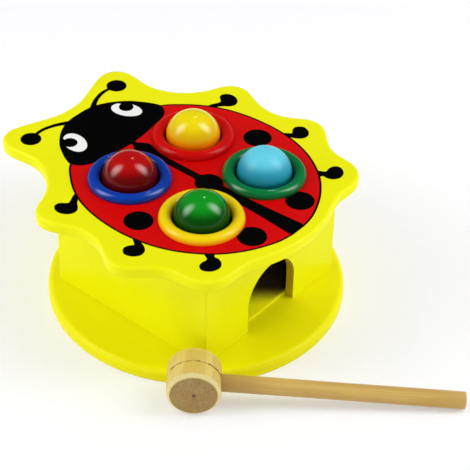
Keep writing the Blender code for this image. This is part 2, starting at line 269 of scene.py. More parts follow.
class Effect(Graph):
    """A shader node group being made, with its inputs and outputs."""

    def __init__(self, name: str, inputs: Sequence[str], outputs: Sequence[str]) -> None:
        """Open the group.

        Args:
            name: The group's name.
            inputs: Labels of its inputs.
            outputs: Labels of its outputs.
        """
        super().__init__(bpy.data.node_groups.new(name, "ShaderNodeTree"))
        for way, labels in (("INPUT", inputs), ("OUTPUT", outputs)):
            for label in labels:
                self.tree.interface.new_socket(
                    name=label, in_out=way, socket_type="NodeSocket" + self.kind(label)
                )
        self.given = self.tree.nodes.new("NodeGroupInput").outputs
        self.leave = self.tree.nodes.new("NodeGroupOutput")

    @staticmethod
    def kind(label: str) -> str:
        """Tell the kind of a group's socket from its label."""
        kinds = {"Vector": "Vector", "Normal": "Vector"}
        return kinds.get(label, "Color" if "Colour" in label else "Float")

    def done(self, **results: object) -> NodeTree:
        """Link the results and give the finished group."""
        self.fill(self.leave, **results)
        return self.tree


@cache
def film_effect() -> NodeTree:
    """Uneven paint or ink film: slow mottle, sprayed orange peel and fine specks.

    Returns:
        The group's node tree.
    """
    labels = ("Vector", "Mottle Scale", "Peel Scale", "Speck Scale")
    effect = Effect("paint film", labels, ("Mottle", "Peel", "Specks"))
    vector, mottle_scale, peel_scale, speck_scale = (effect.given[name] for name in labels)
    slow = effect.noise(vector, mottle_scale, 4.0, 0.55, 0.4)
    cells = effect.fill(
        effect.add("TexVoronoi", feature="F1"), Vector=vector, Scale=speck_scale
    )
    near = effect.span(cells.outputs["Distance"], 0.06, 0.16, 1.0, 0.0)
    rare = effect.span(effect.noise(vector, 260.0, 1.0, 0.5), 0.66, 0.72)
    return effect.done(
        Mottle=effect.span(slow, 0.3, 0.7), Peel=effect.noise(vector, peel_scale, 2.0, 0.45),
        Specks=effect.times(near, rare),
    )


@cache
def rub_and_sheen_effect() -> NodeTree:
    """Mask of rounded edges, broken up by noise: where a film is thinner and rubbed, and where
    board paint gets a painted edge highlight.

    Returns:
        The group's node tree.
    """
    labels = ("Vector", "Normal", "Breakup")
    effect = Effect("edge rub and painted sheen", labels, ("Mask", "Upward"))
    vector, normal, breakup = (effect.given[name] for name in labels)
    *_, up = effect.axes(normal)
    upright = effect.math("ABSOLUTE", up)
    rest = effect.math("SUBTRACT", 1.0, effect.times(upright, upright), clamp=True)
    turned = effect.span(
        effect.math("MINIMUM", upright, effect.math("SQRT", rest)), 0.12, 0.66
    )
    worn = effect.span(effect.noise(vector, breakup, 5.0, 0.6), 0.34, 0.66, 0.35, 1.0)
    return effect.done(Mask=effect.times(turned, worn), Upward=effect.span(up, 0.2, 0.95))


@cache
def dust_effect() -> NodeTree:
    """Thin dust that lies on faces that look up, in soft uneven patches.

    Returns:
        The group's node tree.
    """
    labels = ("Vector", "Upward", "Amount")
    effect = Effect("settled dust", labels, ("Mask",))
    vector, upward, amount = (effect.given[name] for name in labels)
    patches = effect.span(effect.noise(vector, 35.0, 3.0, 0.6), 0.35, 0.75)
    grains = effect.span(effect.noise(vector, 2600.0, 1.0, 0.5), 0.5, 0.72)
    settled = effect.times(effect.times(patches, grains), upward)
    return effect.done(Mask=effect.times(settled, amount))


@cache
def wood_effect() -> NodeTree:
    """Figure of pale wood whose fibres run along X: growth rings, streaks and pores.

    Returns:
        The group's node tree.
    """
    labels = (
        "Vector", "Normal", "Ring Pitch", "Wander", "Early Colour", "Late Colour", "End Colour"
    )
    effect = Effect("wood figure", labels, ("Colour", "Height", "Fibre", "End Grain"))
    vector, normal, pitch, wander, early, late, end = (effect.given[name] for name in labels)
    drift = effect.fill(
        effect.add("TexNoise"), Vector=effect.scaled(vector, (6.0, 60.0, 60.0)),
        Scale=1.0, Detail=3.0,
    ).outputs["Color"]
    halves = (0.5, 0.5, 0.5)
    centred = effect.listed(effect.add("VectorMath", operation="SUBTRACT"), drift, halves)
    bent = effect.listed(
        effect.add("VectorMath", operation="MULTIPLY_ADD"), centred.outputs[0], wander, vector
    )
    _, y, z = effect.axes(bent.outputs[0])
    radius = effect.distance(y, z)
    phase = effect.math("FRACT", effect.times(radius, pitch))
    ring = effect.times(
        effect.span(phase, 0.25, 0.85), effect.span(phase, 0.88, 1.0, 1.0, 0.0)
    )
    streaks = effect.drawn_out(vector, (14.0, 900.0, 900.0), 3.0, 0.6)
    pores = effect.span(
        effect.drawn_out(vector, (70.0, 2600.0, 2600.0), 1.0, 0.5), 0.62, 0.74
    )
    blotch = effect.span(effect.drawn_out(vector, (10.0, 50.0, 50.0), 2.0, 0.5), 0.3, 0.7)
    side = effect.tinted(
        early, (ring, 0.55, late), (effect.span(streaks, 0.45, 0.75), 0.5, late),
        (pores, 0.35, end),
    )
    side = effect.mix(effect.times(blotch, 0.18), side, (1.0, 0.95, 0.82), "MULTIPLY")
    end_mask = effect.span(effect.math("ABSOLUTE", effect.axes(normal)[0]), 0.86, 0.97)
    cut = effect.drawn_out(vector, (300.0, 780.0, 780.0), 3.0, 0.65)
    stain = effect.drawn_out(vector, (50.0, 90.0, 90.0), 2.0, 0.5)
    turned = effect.fill(
        effect.add("VectorRotate", rotation_type="X_AXIS"), Vector=vector, Angle=0.7
    ).outputs[0]
    saw = effect.drawn_out(turned, (300.0, 260.0, 1300.0), 2.0, 0.6, 0.4)
    pith = effect.span(radius, 0.6 * MM, 2.2 * MM, 1.0, 0.0)
    sawn = effect.tinted(
        end,
        (ring, 0.16, late),
        (effect.span(saw, 0.42, 0.66), 0.4, (0.50, 0.33, 0.13)),
        (effect.span(cut, 0.45, 0.72), 0.5, late),
        (effect.span(cut, 0.5, 0.3), 0.35, (0.16, 0.09, 0.03)),
        (effect.span(stain, 0.45, 0.65), 0.35, (0.36, 0.17, 0.04)),
        (pith, 1.0, (0.15, 0.05, 0.016)),
    )
    fibres = effect.plus_share(effect.times(streaks, 0.6), pores, -0.5)
    ends = effect.plus_share(effect.times(cut, 0.8), pith, -1.5)
    return effect.done(
        Colour=effect.mix(end_mask, side, sawn), Height=effect.blend(end_mask, fibres, ends),
        Fibre=streaks, End_Grain=end_mask,
    )


class Surface(Graph):
    """A material being made: its graph, its shader and its usual coordinates."""

    def __init__(self, name: str) -> None:
        """Make the material with one Principled shader and object coordinates.

        Args:
            name: The material's name.
        """
        self.material = bpy.data.materials.new(name)
        self.material.use_nodes = True
        super().__init__(self.material.node_tree)
        self.shader = self.tree.nodes["Principled BSDF"]
        coordinates = self.add("TexCoord").outputs
        self.place, self.normal = coordinates["Object"], coordinates["Normal"]

    def set(self, **values: object) -> None:
        """Fill the shader's sockets, by name with _ for each space."""
        self.fill(self.shader, **values)

    def film(self, mottle: float, peel: float, specks: float) -> list[Socket]:
        """Add an uneven film: mottle, orange peel and specks, so many of each in a metre."""
        return list(self.group(
            film_effect(), Vector=self.place, Mottle_Scale=mottle, Peel_Scale=peel,
            Speck_Scale=specks,
        ))

    def rub_and_sheen(self, breakup: float) -> bpy.types.bpy_prop_collection:
        """Add the mask of rubbed edges, which also places a painted edge highlight, with so many
        breaks in a metre.
        """
        return self.group(
            rub_and_sheen_effect(), Vector=self.place, Normal=self.normal, Breakup=breakup
        )

    def dust(self, upward: object, amount: float) -> Socket:
        """Add the mask of settled dust, of an amount, where a face looks up."""
        return self.group(
            dust_effect(), Vector=self.place, Upward=upward, Amount=amount
        )["Mask"]

    def relief(self, *layers: tuple[Socket, float, float]) -> Socket:
        """Lay bumps over each other.

        Args:
            *layers: Height from 0 to 1, real depth and share kept of each bump.

        Returns:
            The bumped normal's socket.
        """
        normal = None
        for height, depth, share in layers:
            bump = self.fill(self.add("Bump"), Height=height, Distance=depth, Strength=share)
            if normal is not None:
                self.put(normal, bump.inputs["Normal"])
            normal = bump.outputs[0]
        return normal


# Finishes


@dataclass(frozen=True)
class Finish:
    """A finish, which makes one material."""

    name: str

    def build(self) -> Material:
        """Make the material.

        Returns:
            The finished material.
        """
        face = Surface(self.name)
        self.dress(face)
        return face.material

    def dress(self, face: Surface) -> None:
        """Fill the shader of a new surface; each finish has its own way."""
        raise NotImplementedError


@dataclass(frozen=True)
class PaintedBoard(Finish):
    """Gloss paint sprayed over board, thin and paler at the edges as a painted edge highlight,
    with ply lines on its sides.
    """

    colour: Colour = (0.86, 0.855, 0.002)
    deep: Colour = (0.82, 0.79, 0.001)
    # paler edge colour: thinner paint and a painted edge highlight
    thin: Colour = (0.90, 0.88, 0.02)
    roughness: float = 0.36
    specular: float = 0.06
    coat: float = 0.11
    coat_roughness: float = 0.14
    ply_pitch: float = 2.1 * MM
    # dark bare board, darker than plain fibreboard, shown where the painted shadow falls
    bare: Colour = (0.055, 0.034, 0.011)
    bare_roughness: float = 0.85
    dusty: Colour = (0.62, 0.6, 0.52)
    mottle: float = 0.35
    ply: float = 1.0
    # painted shadow of the door jamb: its line, slant, fade and ragged edge on the ramp
    jamb_shadow_edge: float | None = None
    jamb_shadow_slant: float = 1.27
    jamb_shadow_fade: float = 15 * MM
    jamb_shadow_ragged: float = 4 * MM
    lip_starts: float = -64.5 * MM
    lip_ends: float = -61.5 * MM

    def dress(self, face: Surface) -> None:
        """Fill the shader of a new surface.

        Args:
            face: The surface.
        """
        mottle, peel, specks = face.film(22.0, 620.0, 700.0)
        rub_and_sheen = face.rub_and_sheen(90.0)
        *_, height = face.axes(face.place)
        wander = face.drawn_out(face.place, (30.0, 30.0, 200.0), 2.0, 0.5)
        layer = face.plus_share(face.math("DIVIDE", height, self.ply_pitch), wander, 0.7)
        wave = face.math("SINE", face.times(layer, FULL_TURN))
        *_, up = face.axes(face.normal)
        side = face.span(face.math("ABSOLUTE", up), 0.1, 0.5, 1.0, 0.0)
        lines = face.times(face.times(wave, side), 0.5 * self.ply)
        colour = face.tinted(
            self.colour,
            (mottle, self.mottle, self.deep),
            # painted edge highlight: rounded edges turn to the paler thin colour
            (rub_and_sheen["Mask"], 0.45, self.thin),
            (face.dust(rub_and_sheen["Upward"], 0.02), 1.0, self.dusty),
            (face.math("MAXIMUM", lines, 0.0), 0.10, self.deep),
        )
        rough = face.plus_share(self.roughness - 0.05, mottle, 0.1)
        # painted shadow: behind the lip the paint gives way to dark bare board along the jamb's
        # shadow line
        if self.jamb_shadow_edge is not None:
            bare_as_shadow_mask = self.bare_as_shadow_mask(face, self.jamb_shadow_edge)
            colour = face.mix(bare_as_shadow_mask, colour, self.bare)
            rough = face.blend(bare_as_shadow_mask, rough, self.bare_roughness)
        normal = face.relief(
            (peel, 0.04 * MM, 0.5), (specks, 0.06 * MM, 0.5), (lines, 0.06 * MM, 0.7)
        )
        face.set(
            Base_Color=colour, Roughness=rough, Normal=normal, Specular_IOR_Level=self.specular,
            Coat_Weight=self.coat, Coat_Roughness=self.coat_roughness,
        )

    def bare_as_shadow_mask(self, face: Surface, until: float) -> Socket:
        """Mask the board behind its lip where dark bare board shows, its edge laid along the door
        jamb's shadow as a painted shadow.

        Args:
            face: The surface.
            until: Where the painted shadow's slanting edge crosses Y = 0.

        Returns:
            The mask's socket.
        """
        x, y, _ = face.axes(face.place)
        ragged = face.plus_share(x, face.noise(face.place, 140.0, 3.0, 0.5), self.jamb_shadow_ragged)
        slant = face.plus_share(ragged, y, self.jamb_shadow_slant)
        beyond = face.span(slant, until - self.jamb_shadow_fade, until + self.jamb_shadow_fade)
        return face.times(beyond, face.span(y, self.lip_starts, self.lip_ends))


@dataclass(frozen=True)
class BareBoard(Finish):
    """Unpainted fibreboard for the inside of the box, darker than plain board as painted shade."""

    # darkened past plain fibreboard: painted shade for the inside of the box
    colour: Colour = (0.08, 0.048, 0.022)
    flecks: Colour = (0.05, 0.028, 0.012)

    def dress(self, face: Surface) -> None:
        """Fill the shader of a new surface.

        Args:
            face: The surface.
        """
        fibres = face.noise(face.place, 1500.0, 3.0, 0.7)
        clouds = face.noise(face.place, 60.0, 3.0, 0.6)
        colour = face.tinted(
            self.colour, (face.span(fibres, 0.4, 0.65), 1.0, self.flecks),
            (face.span(clouds, 0.35, 0.7), 0.4, self.flecks),
        )
        rough = face.span(clouds, 0.2, 0.8, 0.7, 0.9)
        face.set(
            Base_Color=colour, Roughness=rough, Normal=face.relief((fibres, 0.1 * MM, 0.7))
        )


@dataclass(frozen=True)
class ScreenInk(Finish):
    """Screen-printed ink under a thin varnish, slightly uneven in density."""

    colour: Colour
    thin: Colour
    roughness: float = 0.42
    specular: float = 0.05
    dusty: Colour = (0.6, 0.58, 0.55)

    def dress(self, face: Surface) -> None:
        """Fill the shader of a new surface.

        Args:
            face: The surface.
        """
        mottle, peel, _ = face.film(30.0, 620.0, 700.0)
        weave = face.noise(face.place, 2400.0, 1.0, 0.5)
        colour = face.tinted(
            self.colour, (mottle, 0.4, self.thin),
            (face.span(weave, 0.5, 0.8), 0.25, self.thin),
            (face.dust(1.0, 0.002), 1.0, self.dusty),
        )
        face.set(
            Base_Color=colour, Roughness=face.plus_share(self.roughness - 0.06, mottle, 0.12),
            Normal=face.relief((peel, 0.04 * MM, 0.5), (weave, 0.01 * MM, 0.5)),
            Specular_IOR_Level=self.specular,
        )


@dataclass(frozen=True)
class Lacquer(Finish):
    """Coloured lacquer over a turned wooden ball, with painted shade darkening it towards its
    underside.
    """

    colour: Colour
    deep: Colour
    # painted shade colours, mixed in towards the lower half and the underside
    shade: Colour
    under: Colour
    roughness: float = 0.3
    coat: float = 1.0
    coat_roughness: float = 0.11
    coat_ior: float = 1.6
    specular: float = 0.06
    figure: float = 0.1
    painted_shade_share: float = 0.9

    def dress(self, face: Surface) -> None:
        """Fill the shader of a new surface.

        Args:
            face: The surface.
        """
        mottle, peel, specks = face.film(55.0, 420.0, 500.0)
        grain = face.drawn_out(face.place, (40.0, 700.0, 260.0), 3.0, 0.6, 0.3)
        *_, up = face.axes(face.normal)
        colour = face.tinted(
            self.colour,
            (mottle, 0.5, self.deep),
            (face.span(grain, 0.45, 0.75), self.figure, self.deep),
            # painted shade: darker colours towards the bottom of the ball, by how far its surface
            # looks down
            (face.span(up, 0.45, 0.88, self.painted_shade_share, 0.0), 1.0, self.shade),
            (face.span(up, 0.0, 0.5, 0.85, 0.0), 1.0, self.under),
        )
        normal = face.relief(
            (peel, 0.06 * MM, 0.5), (grain, 0.02 * MM, 0.6), (specks, 0.08 * MM, 0.5)
        )
        polish = face.span(up, 0.3, 0.78, 0.2, 1.0)
        face.set(
            Base_Color=colour, Roughness=face.plus_share(self.roughness - 0.03, mottle, 0.07),
            Normal=normal, Specular_IOR_Level=self.specular,
            Coat_Weight=face.times(polish, self.coat), Coat_Roughness=self.coat_roughness,
            Coat_IOR=self.coat_ior,
        )


@dataclass(frozen=True)
class MouldedPlastic(Finish):
    """Injection-moulded plastic with faint flow marks and fine handling scratches, and a painted
    shade and painted reflection towards the foot of the bead.
    """

    colour: Colour
    deep: Colour
    # painted shade and painted reflection: the colour the bead takes towards its foot
    foot: Colour
    roughness: float = 0.3
    coat: float = 1.0
    coat_roughness: float = 0.1
    specular: float = 0.06
    foot_shade_height: float = 4.5 * MM

    def dress(self, face: Surface) -> None:
        """Fill the shader of a new surface.

        Args:
            face: The surface.
        """
        mottle, peel, _ = face.film(70.0, 1100.0, 900.0)
        flow = face.drawn_out(face.place, (120.0, 120.0, 500.0), 2.0, 0.5, 1.2)
        scratches = face.span(
            face.drawn_out(face.place, (3200.0, 240.0, 900.0), 2.0, 0.7), 0.66, 0.74
        )
        *_, height = face.axes(face.place)
        colour = face.tinted(
            self.colour,
            (face.span(flow, 0.35, 0.7), 0.3, self.deep),
            (mottle, 0.15, self.deep),
            # painted shade and reflection, mixed in towards the foot of the bead
            (face.span(height, 0.0, self.foot_shade_height, 0.85, 0.0), 1.0, self.foot),
        )
        rough = face.plus_share(face.plus_share(self.roughness, scratches, 0.12), mottle, 0.04)
        face.set(
            Base_Color=colour, Roughness=rough,
            Normal=face.relief((peel, 0.01 * MM, 0.5), (scratches, 0.01 * MM, 0.4)),
            Specular_IOR_Level=self.specular, Coat_Weight=self.coat,
            Coat_Roughness=self.coat_roughness,
        )


@dataclass(frozen=True)
class TurnedWood(Finish):
    """Bare pale wood turned on a lathe, fibres along X, with a scorched groove if asked, a painted
    highlight on the chamfered rim and a painted shadow near the socket.
    """

    early: Colour
    late: Colour
    end: Colour
    ring_pitch: float = 420.0
    wander: float = 4 * MM
    groove_half_width: float = 0.0
    socket_shadow_share: float = 0.0
    roughness: float = 0.5
    coat: float = 0.04
    coat_roughness: float = 0.35
    scorched: Colour = (0.12, 0.055, 0.02)
    painted_head_shadow: Colour = (0.34, 0.19, 0.045)
    # painted highlight colour on the head's chamfered rim
    rim: Colour = (0.90, 0.82, 0.50)
    tool_marks: float = 9000.0

    def dress(self, face: Surface) -> None:
        """Fill the shader of a new surface.

        Args:
            face: The surface.
        """
        wood = face.group(
            wood_effect(), Vector=face.place, Normal=face.normal, Ring_Pitch=self.ring_pitch,
            Wander=self.wander, Early_Colour=self.early, Late_Colour=self.late,
            End_Colour=self.end,
        )
        along, *_ = face.axes(face.place)
        away = face.math("ABSOLUTE", along)
        colour = wood["Colour"]
        if self.groove_half_width > 0.0:
            burnt = face.span(
                away, self.groove_half_width * 0.6, self.groove_half_width * 1.5, 1.0, 0.0
            )
            broken = face.span(face.noise(face.place, 140.0, 3.0, 0.6), 0.42, 0.58, 0.12, 1.0)
            colour = face.mix(face.times(burnt, broken), colour, self.scorched)
        # painted highlight: the chamfered rim is lightened by how its normal leans
        lean = face.math("ABSOLUTE", face.axes(face.normal)[0])
        rim = face.times(face.span(lean, 0.15, 0.45), face.span(lean, 0.8, 0.93, 0.42, 0.0))
        handled = face.span(face.noise(face.place, 45.0, 3.0, 0.55), 0.45, 0.75)
        colour = face.tinted(
            colour,
            # painted shadow of the head, darkening the handle near its socket
            (face.span(along, 15 * MM, 65 * MM, self.socket_shadow_share, 0.0), 1.0, self.painted_head_shadow),
            # painted highlight on the chamfered rim
            (face.times(rim, face.span(away, 2 * MM, 3 * MM)), 1.0, self.rim),
            (handled, 0.12, self.late),
        )
        rough = face.plus_share(self.roughness - 0.08, wood["Fibre"], 0.2)
        rough = face.plus_share(rough, wood["End Grain"], 0.15)
        tool = face.math("SINE", face.times(along, self.tool_marks))
        face.set(
            Base_Color=colour, Roughness=rough, Coat_Weight=self.coat,
            Coat_Roughness=self.coat_roughness,
            Normal=face.relief((wood["Height"], 0.12 * MM, 0.6), (tool, 0.008 * MM, 0.5)),
        )


@dataclass(frozen=True)
class ZincSteel(Finish):
    """Zinc-plated screw steel, with driver marks."""

    colour: Colour = (0.56, 0.57, 0.6)
    dull: Colour = (0.34, 0.34, 0.33)
    rubbed: Colour = (0.75, 0.75, 0.75)
    roughness: float = 0.28

    def dress(self, face: Surface) -> None:
        """Fill the shader of a new surface.

        Args:
            face: The surface.
        """
        cloud = face.span(face.noise(face.place, 700.0, 3.0, 0.6), 0.35, 0.7)
        marks = face.span(
            face.drawn_out(face.place, (5000.0, 500.0, 500.0), 2.0, 0.6), 0.6, 0.75
        )
        colour = face.tinted(
            self.colour, (cloud, 1.0, self.dull), (face.rub_and_sheen(900.0)["Mask"], 0.4, self.rubbed)
        )
        face.set(
            Base_Color=colour, Metallic=1.0, Normal=face.relief((marks, 0.02 * MM, 0.6)),
            Roughness=face.plus_share(self.roughness, cloud, 0.2),
        )


@dataclass(frozen=True)
class StudioPaper(Finish):
    """Pale studio paper: seen almost white, but keeping the object's shadow."""

    bounce: Colour = (0.80, 0.80, 0.79)
    seen: Colour = (0.665, 0.665, 0.69)
    glow: float = 0.35
    roughness: float = 0.9
    specular: float = 0.1

    def dress(self, face: Surface) -> None:
        """Fill the shader of a new surface.

        Args:
            face: The surface.
        """
        path = face.add("LightPath").outputs
        seen = face.math("MAXIMUM", path["Is Camera Ray"], path["Is Glossy Ray"])
        seen = face.math("MAXIMUM", seen, path["Is Transmission Ray"])
        tooth = face.noise(face.place, 900.0, 2.0, 0.5)
        face.set(
            Base_Color=face.mix(seen, self.bounce, self.seen), Roughness=self.roughness,
            Specular_IOR_Level=self.specular, Normal=face.relief((tooth, 0.03 * MM, 0.3)),
            Emission_Color=(1.0, 1.0, 1.0), Emission_Strength=face.times(seen, self.glow),
        )


# Mesh makers


def smooth_loop(points: Sequence[Point], steps: int) -> Outline:
    """Run a smooth closed curve through points.

    Args:
        points: The points in order.
        steps: Curve points made for each given point.

    Returns:
        The curve's points.
    """
    count = len(points)
    curve: Outline = []
    for index in range(count):
        before, here, after, beyond = (
            Vector(points[(index + shift) % count]) for shift in (-1, 0, 1, 2)
        )
        for t in (step / steps for step in range(steps)):
            line = 2 * here + (after - before) * t
            bend = (2 * before - 5 * here + 4 * after - beyond) * t**2
            swing = (3 * here - before - 3 * after + beyond) * t**3
            curve.append(tuple((line + bend + swing) / 2))
    return curve


def mirrored(half: Sequence[Point]) -> Outline:
    """Complete a half outline at X of zero or more, whose ends lie on X = 0."""
    return [*half, *((-x, y) for x, y in reversed(half) if x > 0.0)]


def arc(centre: Point, reach: Point, start: float, stop: float, steps: int) -> Outline:
    """List points on a part of an ellipse.

    Args:
        centre: Its middle.
        reach: Its reach along X and along Y.
        start: First angle in degrees.
        stop: Last angle in degrees.
        steps: Number of steps between them.

    Returns:
        The points, both ends included.
    """
    angles = [math.radians(start + (stop - start) * i / steps) for i in range(steps + 1)]
    return [
        (centre[0] + reach[0] * math.cos(a), centre[1] + reach[1] * math.sin(a)) for a in angles
    ]


def circle(centre: Point, radius: float, count: int) -> Outline:
    """List a count of points round a circle, counterclockwise."""
    return arc(centre, (radius, radius), 0.0, 360.0, count)[:-1]


def leaning_oval(centre: Point, reach: Point, lean: float, count: int) -> Outline:
    """List points round an ellipse that leans.

    Args:
        centre: Its middle.
        reach: Half of its width and of its height.
        lean: Turn in radians, counterclockwise.
        count: How many points.

    Returns:
        The points.
    """
    turn = Matrix.Rotation(lean, 2)
    oval = arc(MIDDLE, reach, 0.0, 360.0, count)[:-1]
    return [tuple(Vector(centre) + turn @ Vector(point)) for point in oval]


def inset(outline: Outline, depth: float) -> Outline:
    """Move a counterclockwise outline inwards along its normals.

    Args:
        outline: The points.
        depth: How far they move; a negative depth moves them outwards.

    Returns:
        The moved points.
    """
    moved = []
    for index, (x, y) in enumerate(outline):
        along = Vector(outline[(index + 1) % len(outline)]) - Vector(outline[index - 1])
        along.normalize()
        moved.append((x - along.y * depth, y + along.x * depth))
    return moved


def lifted(outline: Outline, height: float) -> list[Vector]:
    """Give an outline's points at a height."""
    return [Vector((x, y, height)) for x, y in outline]


def inside(outline: Outline, points: np.ndarray) -> np.ndarray:
    """Tell which points lie inside an outline.

    Args:
        outline: The closed outline.
        points: An array of X and Y rows.

    Returns:
        One True or False for each point.
    """
    corners = np.array(outline)[:, :, None]
    (x1, y1), (x2, y2) = (rows.transpose(1, 0, 2) for rows in (corners, np.roll(corners, -1, 0)))
    px, py = points.T[:, None, :]
    spans = (y1 > py) != (y2 > py)
    rise = np.where(y2 == y1, 1.0, y2 - y1)
    crossing = px < (x2 - x1) * (py - y1) / rise + x1
    return (np.count_nonzero(spans & crossing, axis=0) % 2).astype(bool)


def triangulated(outlines: list[Outline]) -> tuple[np.ndarray, list[list[int]], np.ndarray]:
    """Split the plane along outlines into triangles.

    Args:
        outlines: Closed outlines, which may cross each other.

    Returns:
        The corner points, the triangles, and the middle of each triangle.
    """
    points: list[Vector] = []
    edges: list[tuple[int, int]] = []
    for outline in outlines:
        first, count = len(points), len(outline)
        points += [Vector(point) for point in outline]
        edges += [(first + i, first + (i + 1) % count) for i in range(count)]
    verts, _, faces, *_ = delaunay_2d_cdt(points, edges, [], 0, MEET)
    spots = np.array([tuple(vert) for vert in verts])
    return spots, faces, np.array([spots[face].mean(axis=0) for face in faces])


def fill_between(bm: BMesh, outer: Outline, level: float, holes: Sequence[Outline] = ()) -> None:
    """Fill a flat area with holes in it.

    Args:
        bm: The mesh that receives the faces.
        outer: The outer outline.
        level: The height of the area.
        holes: The outlines of the holes.
    """
    spots, faces, middles = triangulated([outer, *holes])
    keep = inside(outer, middles)
    for hole in holes:
        keep &= ~inside(hole, middles)
    verts = [bm.verts.new((x, y, level)) for x, y in spots]
    for face, kept in zip(faces, keep):
        if kept:
            bm.faces.new([verts[i] for i in face])


def skin(bm: BMesh, rings: list[list[Vector]]) -> None:
    """Join a row of closed rings of points with quads.

    Args:
        bm: The mesh that receives the faces.
        rings: Rings with the same number of points each.
    """
    rows = [[bm.verts.new(point) for point in ring] for ring in rings]
    for low, high in zip(rows, rows[1:]):
        for index in range(len(low)):
            after = (index + 1) % len(low)
            bm.faces.new((low[index], low[after], high[after], high[index]))


def lathe(bm: BMesh, section: Outline, segments: int, closed: bool = False) -> None:
    """Turn a section of (radius, height) points about Z.

    Args:
        bm: The mesh that receives the faces.
        section: The section; a point with no radius becomes a pole.
        segments: Steps round the axis.
        closed: Whether the section closes on itself into a ring.
    """
    rows = []
    for radius, height in section:
        ring = circle(MIDDLE, radius, segments) if radius > 0.0 else [MIDDLE]
        rows.append([bm.verts.new(spot) for spot in lifted(ring, height)])
    pairs = list(zip(rows, rows[1:]))
    if closed:
        pairs.append((rows[-1], rows[0]))
    for low, high in pairs:
        for index in range(segments):
            after = (index + 1) % segments
            steps = ((low, index), (low, after), (high, after), (high, index))
            corners = list(dict.fromkeys(row[step % len(row)] for row, step in steps))
            if len(corners) > 2:
                bm.faces.new(corners)


def finish_mesh(name: str, bm: BMesh, sharp: float = SHARP_DEGREES) -> Mesh:
    """Turn a bmesh into smooth-shaded mesh data that faces outwards.

    Args:
        name: The mesh's name.
        bm: The bmesh, which is freed.
        sharp: Angle in degrees from which an edge stays sharp.

    Returns:
        The mesh data.
    """
    bmesh.ops.remove_doubles(bm, verts=bm.verts, dist=WELD)
    bmesh.ops.recalc_face_normals(bm, faces=bm.faces)
    mesh = bpy.data.meshes.new(name)
    bm.to_mesh(mesh)
    bm.free()
    mesh.shade_smooth()
    mesh.set_sharp_from_angle(angle=math.radians(sharp))
    return mesh


def turned_mesh(
    name: str, section: Outline, segments: int, turn: Matrix, sharp: float = SHARP_DEGREES
) -> Mesh:
    """Turn a section of (radius, height) points about Z, and then lay it down.

    Args:
        name: The mesh's name.
        section: The section.
        segments: Steps round the axis.
        turn: Rotation of the turned mesh.
        sharp: Angle in degrees from which an edge stays sharp.

    Returns:
        The mesh data.
    """
    bm = bmesh.new()
    lathe(bm, section, segments)
    bmesh.ops.transform(bm, matrix=turn, verts=bm.verts)
    return finish_mesh(name, bm, sharp)


# Placing pieces


def node_centre(node: str) -> Vector:
    """Give the middle of a CAD node's box at rest."""
    low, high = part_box(node)
    return (low + high) / 2


def collar_circles(radius: float) -> list[Outline]:
    """Give a circle of a radius about the middle of each collar."""
    spots = [node_centre(colour + "_collar") for colour in COLLARS]
    return [circle((spot.x, spot.y), radius, COLLAR_HOLE_STEPS) for spot in spots]


def in_scene(name: str, data: bpy.types.ID) -> Object:
    """Put a new object into the scene.

    Args:
        name: Its name.
        data: Its mesh, lamp or camera.

    Returns:
        The object.
    """
    made = bpy.data.objects.new(name, data)
    bpy.context.scene.collection.objects.link(made)
    return made


def settle(piece: Object) -> None:
    """Apply a piece's modifiers to its mesh.

    Args:
        piece: The piece.
    """
    graph = bpy.context.evaluated_depsgraph_get()
    mesh = bpy.data.meshes.new_from_object(piece.evaluated_get(graph), depsgraph=graph)
    piece.modifiers.clear()
    piece.data = mesh


def ease(piece: Object, width: float) -> None:
    """Round the sharp edges of a board.

    Args:
        piece: The board.
        width: Width of the rounding.
    """
    rounding = piece.modifiers.new("eased edges", "BEVEL")
    rounding.width = width
    rounding.segments = EASED_STEPS
    rounding.limit_method = "ANGLE"
    rounding.angle_limit = EASED_ANGLE
    rounding.harden_normals = True
    rounding.use_clamp_overlap = False
    settle(piece)


class Assembly:
    """A group of pieces that are made together; it also lists all that were placed."""

    pieces: ClassVar[list[Object]] = []

    def place(
        self, name: str, mesh: Mesh, materials: Sequence[Material], slot: str,
        stands_for: tuple[str, ...] = (), pose: Matrix | None = None,
        body: str = Body.BENCH.value,
    ) -> Object:
        """Add one piece, tie it to its body and hide the nodes it stands for.

        Args:
            name: The piece's name.
            mesh: Its mesh.
            materials: Its materials, in slot order.
            slot: Name of the material slot of its finish; not used.
            stands_for: The CAD nodes that it replaces.
            pose: Where its own axes lie, if they aren't the scene's.
            body: The CAD body that it rides on.

        Returns:
            The piece.
        """
        piece = in_scene(name, mesh)
        for material in materials:
            mesh.materials.append(material)
        if pose is not None:
            piece.matrix_world = pose
        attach(piece, body)
        if stands_for:
            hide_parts(*stands_for)
        self.pieces.append(piece)
        return piece


# Sub-assemblies


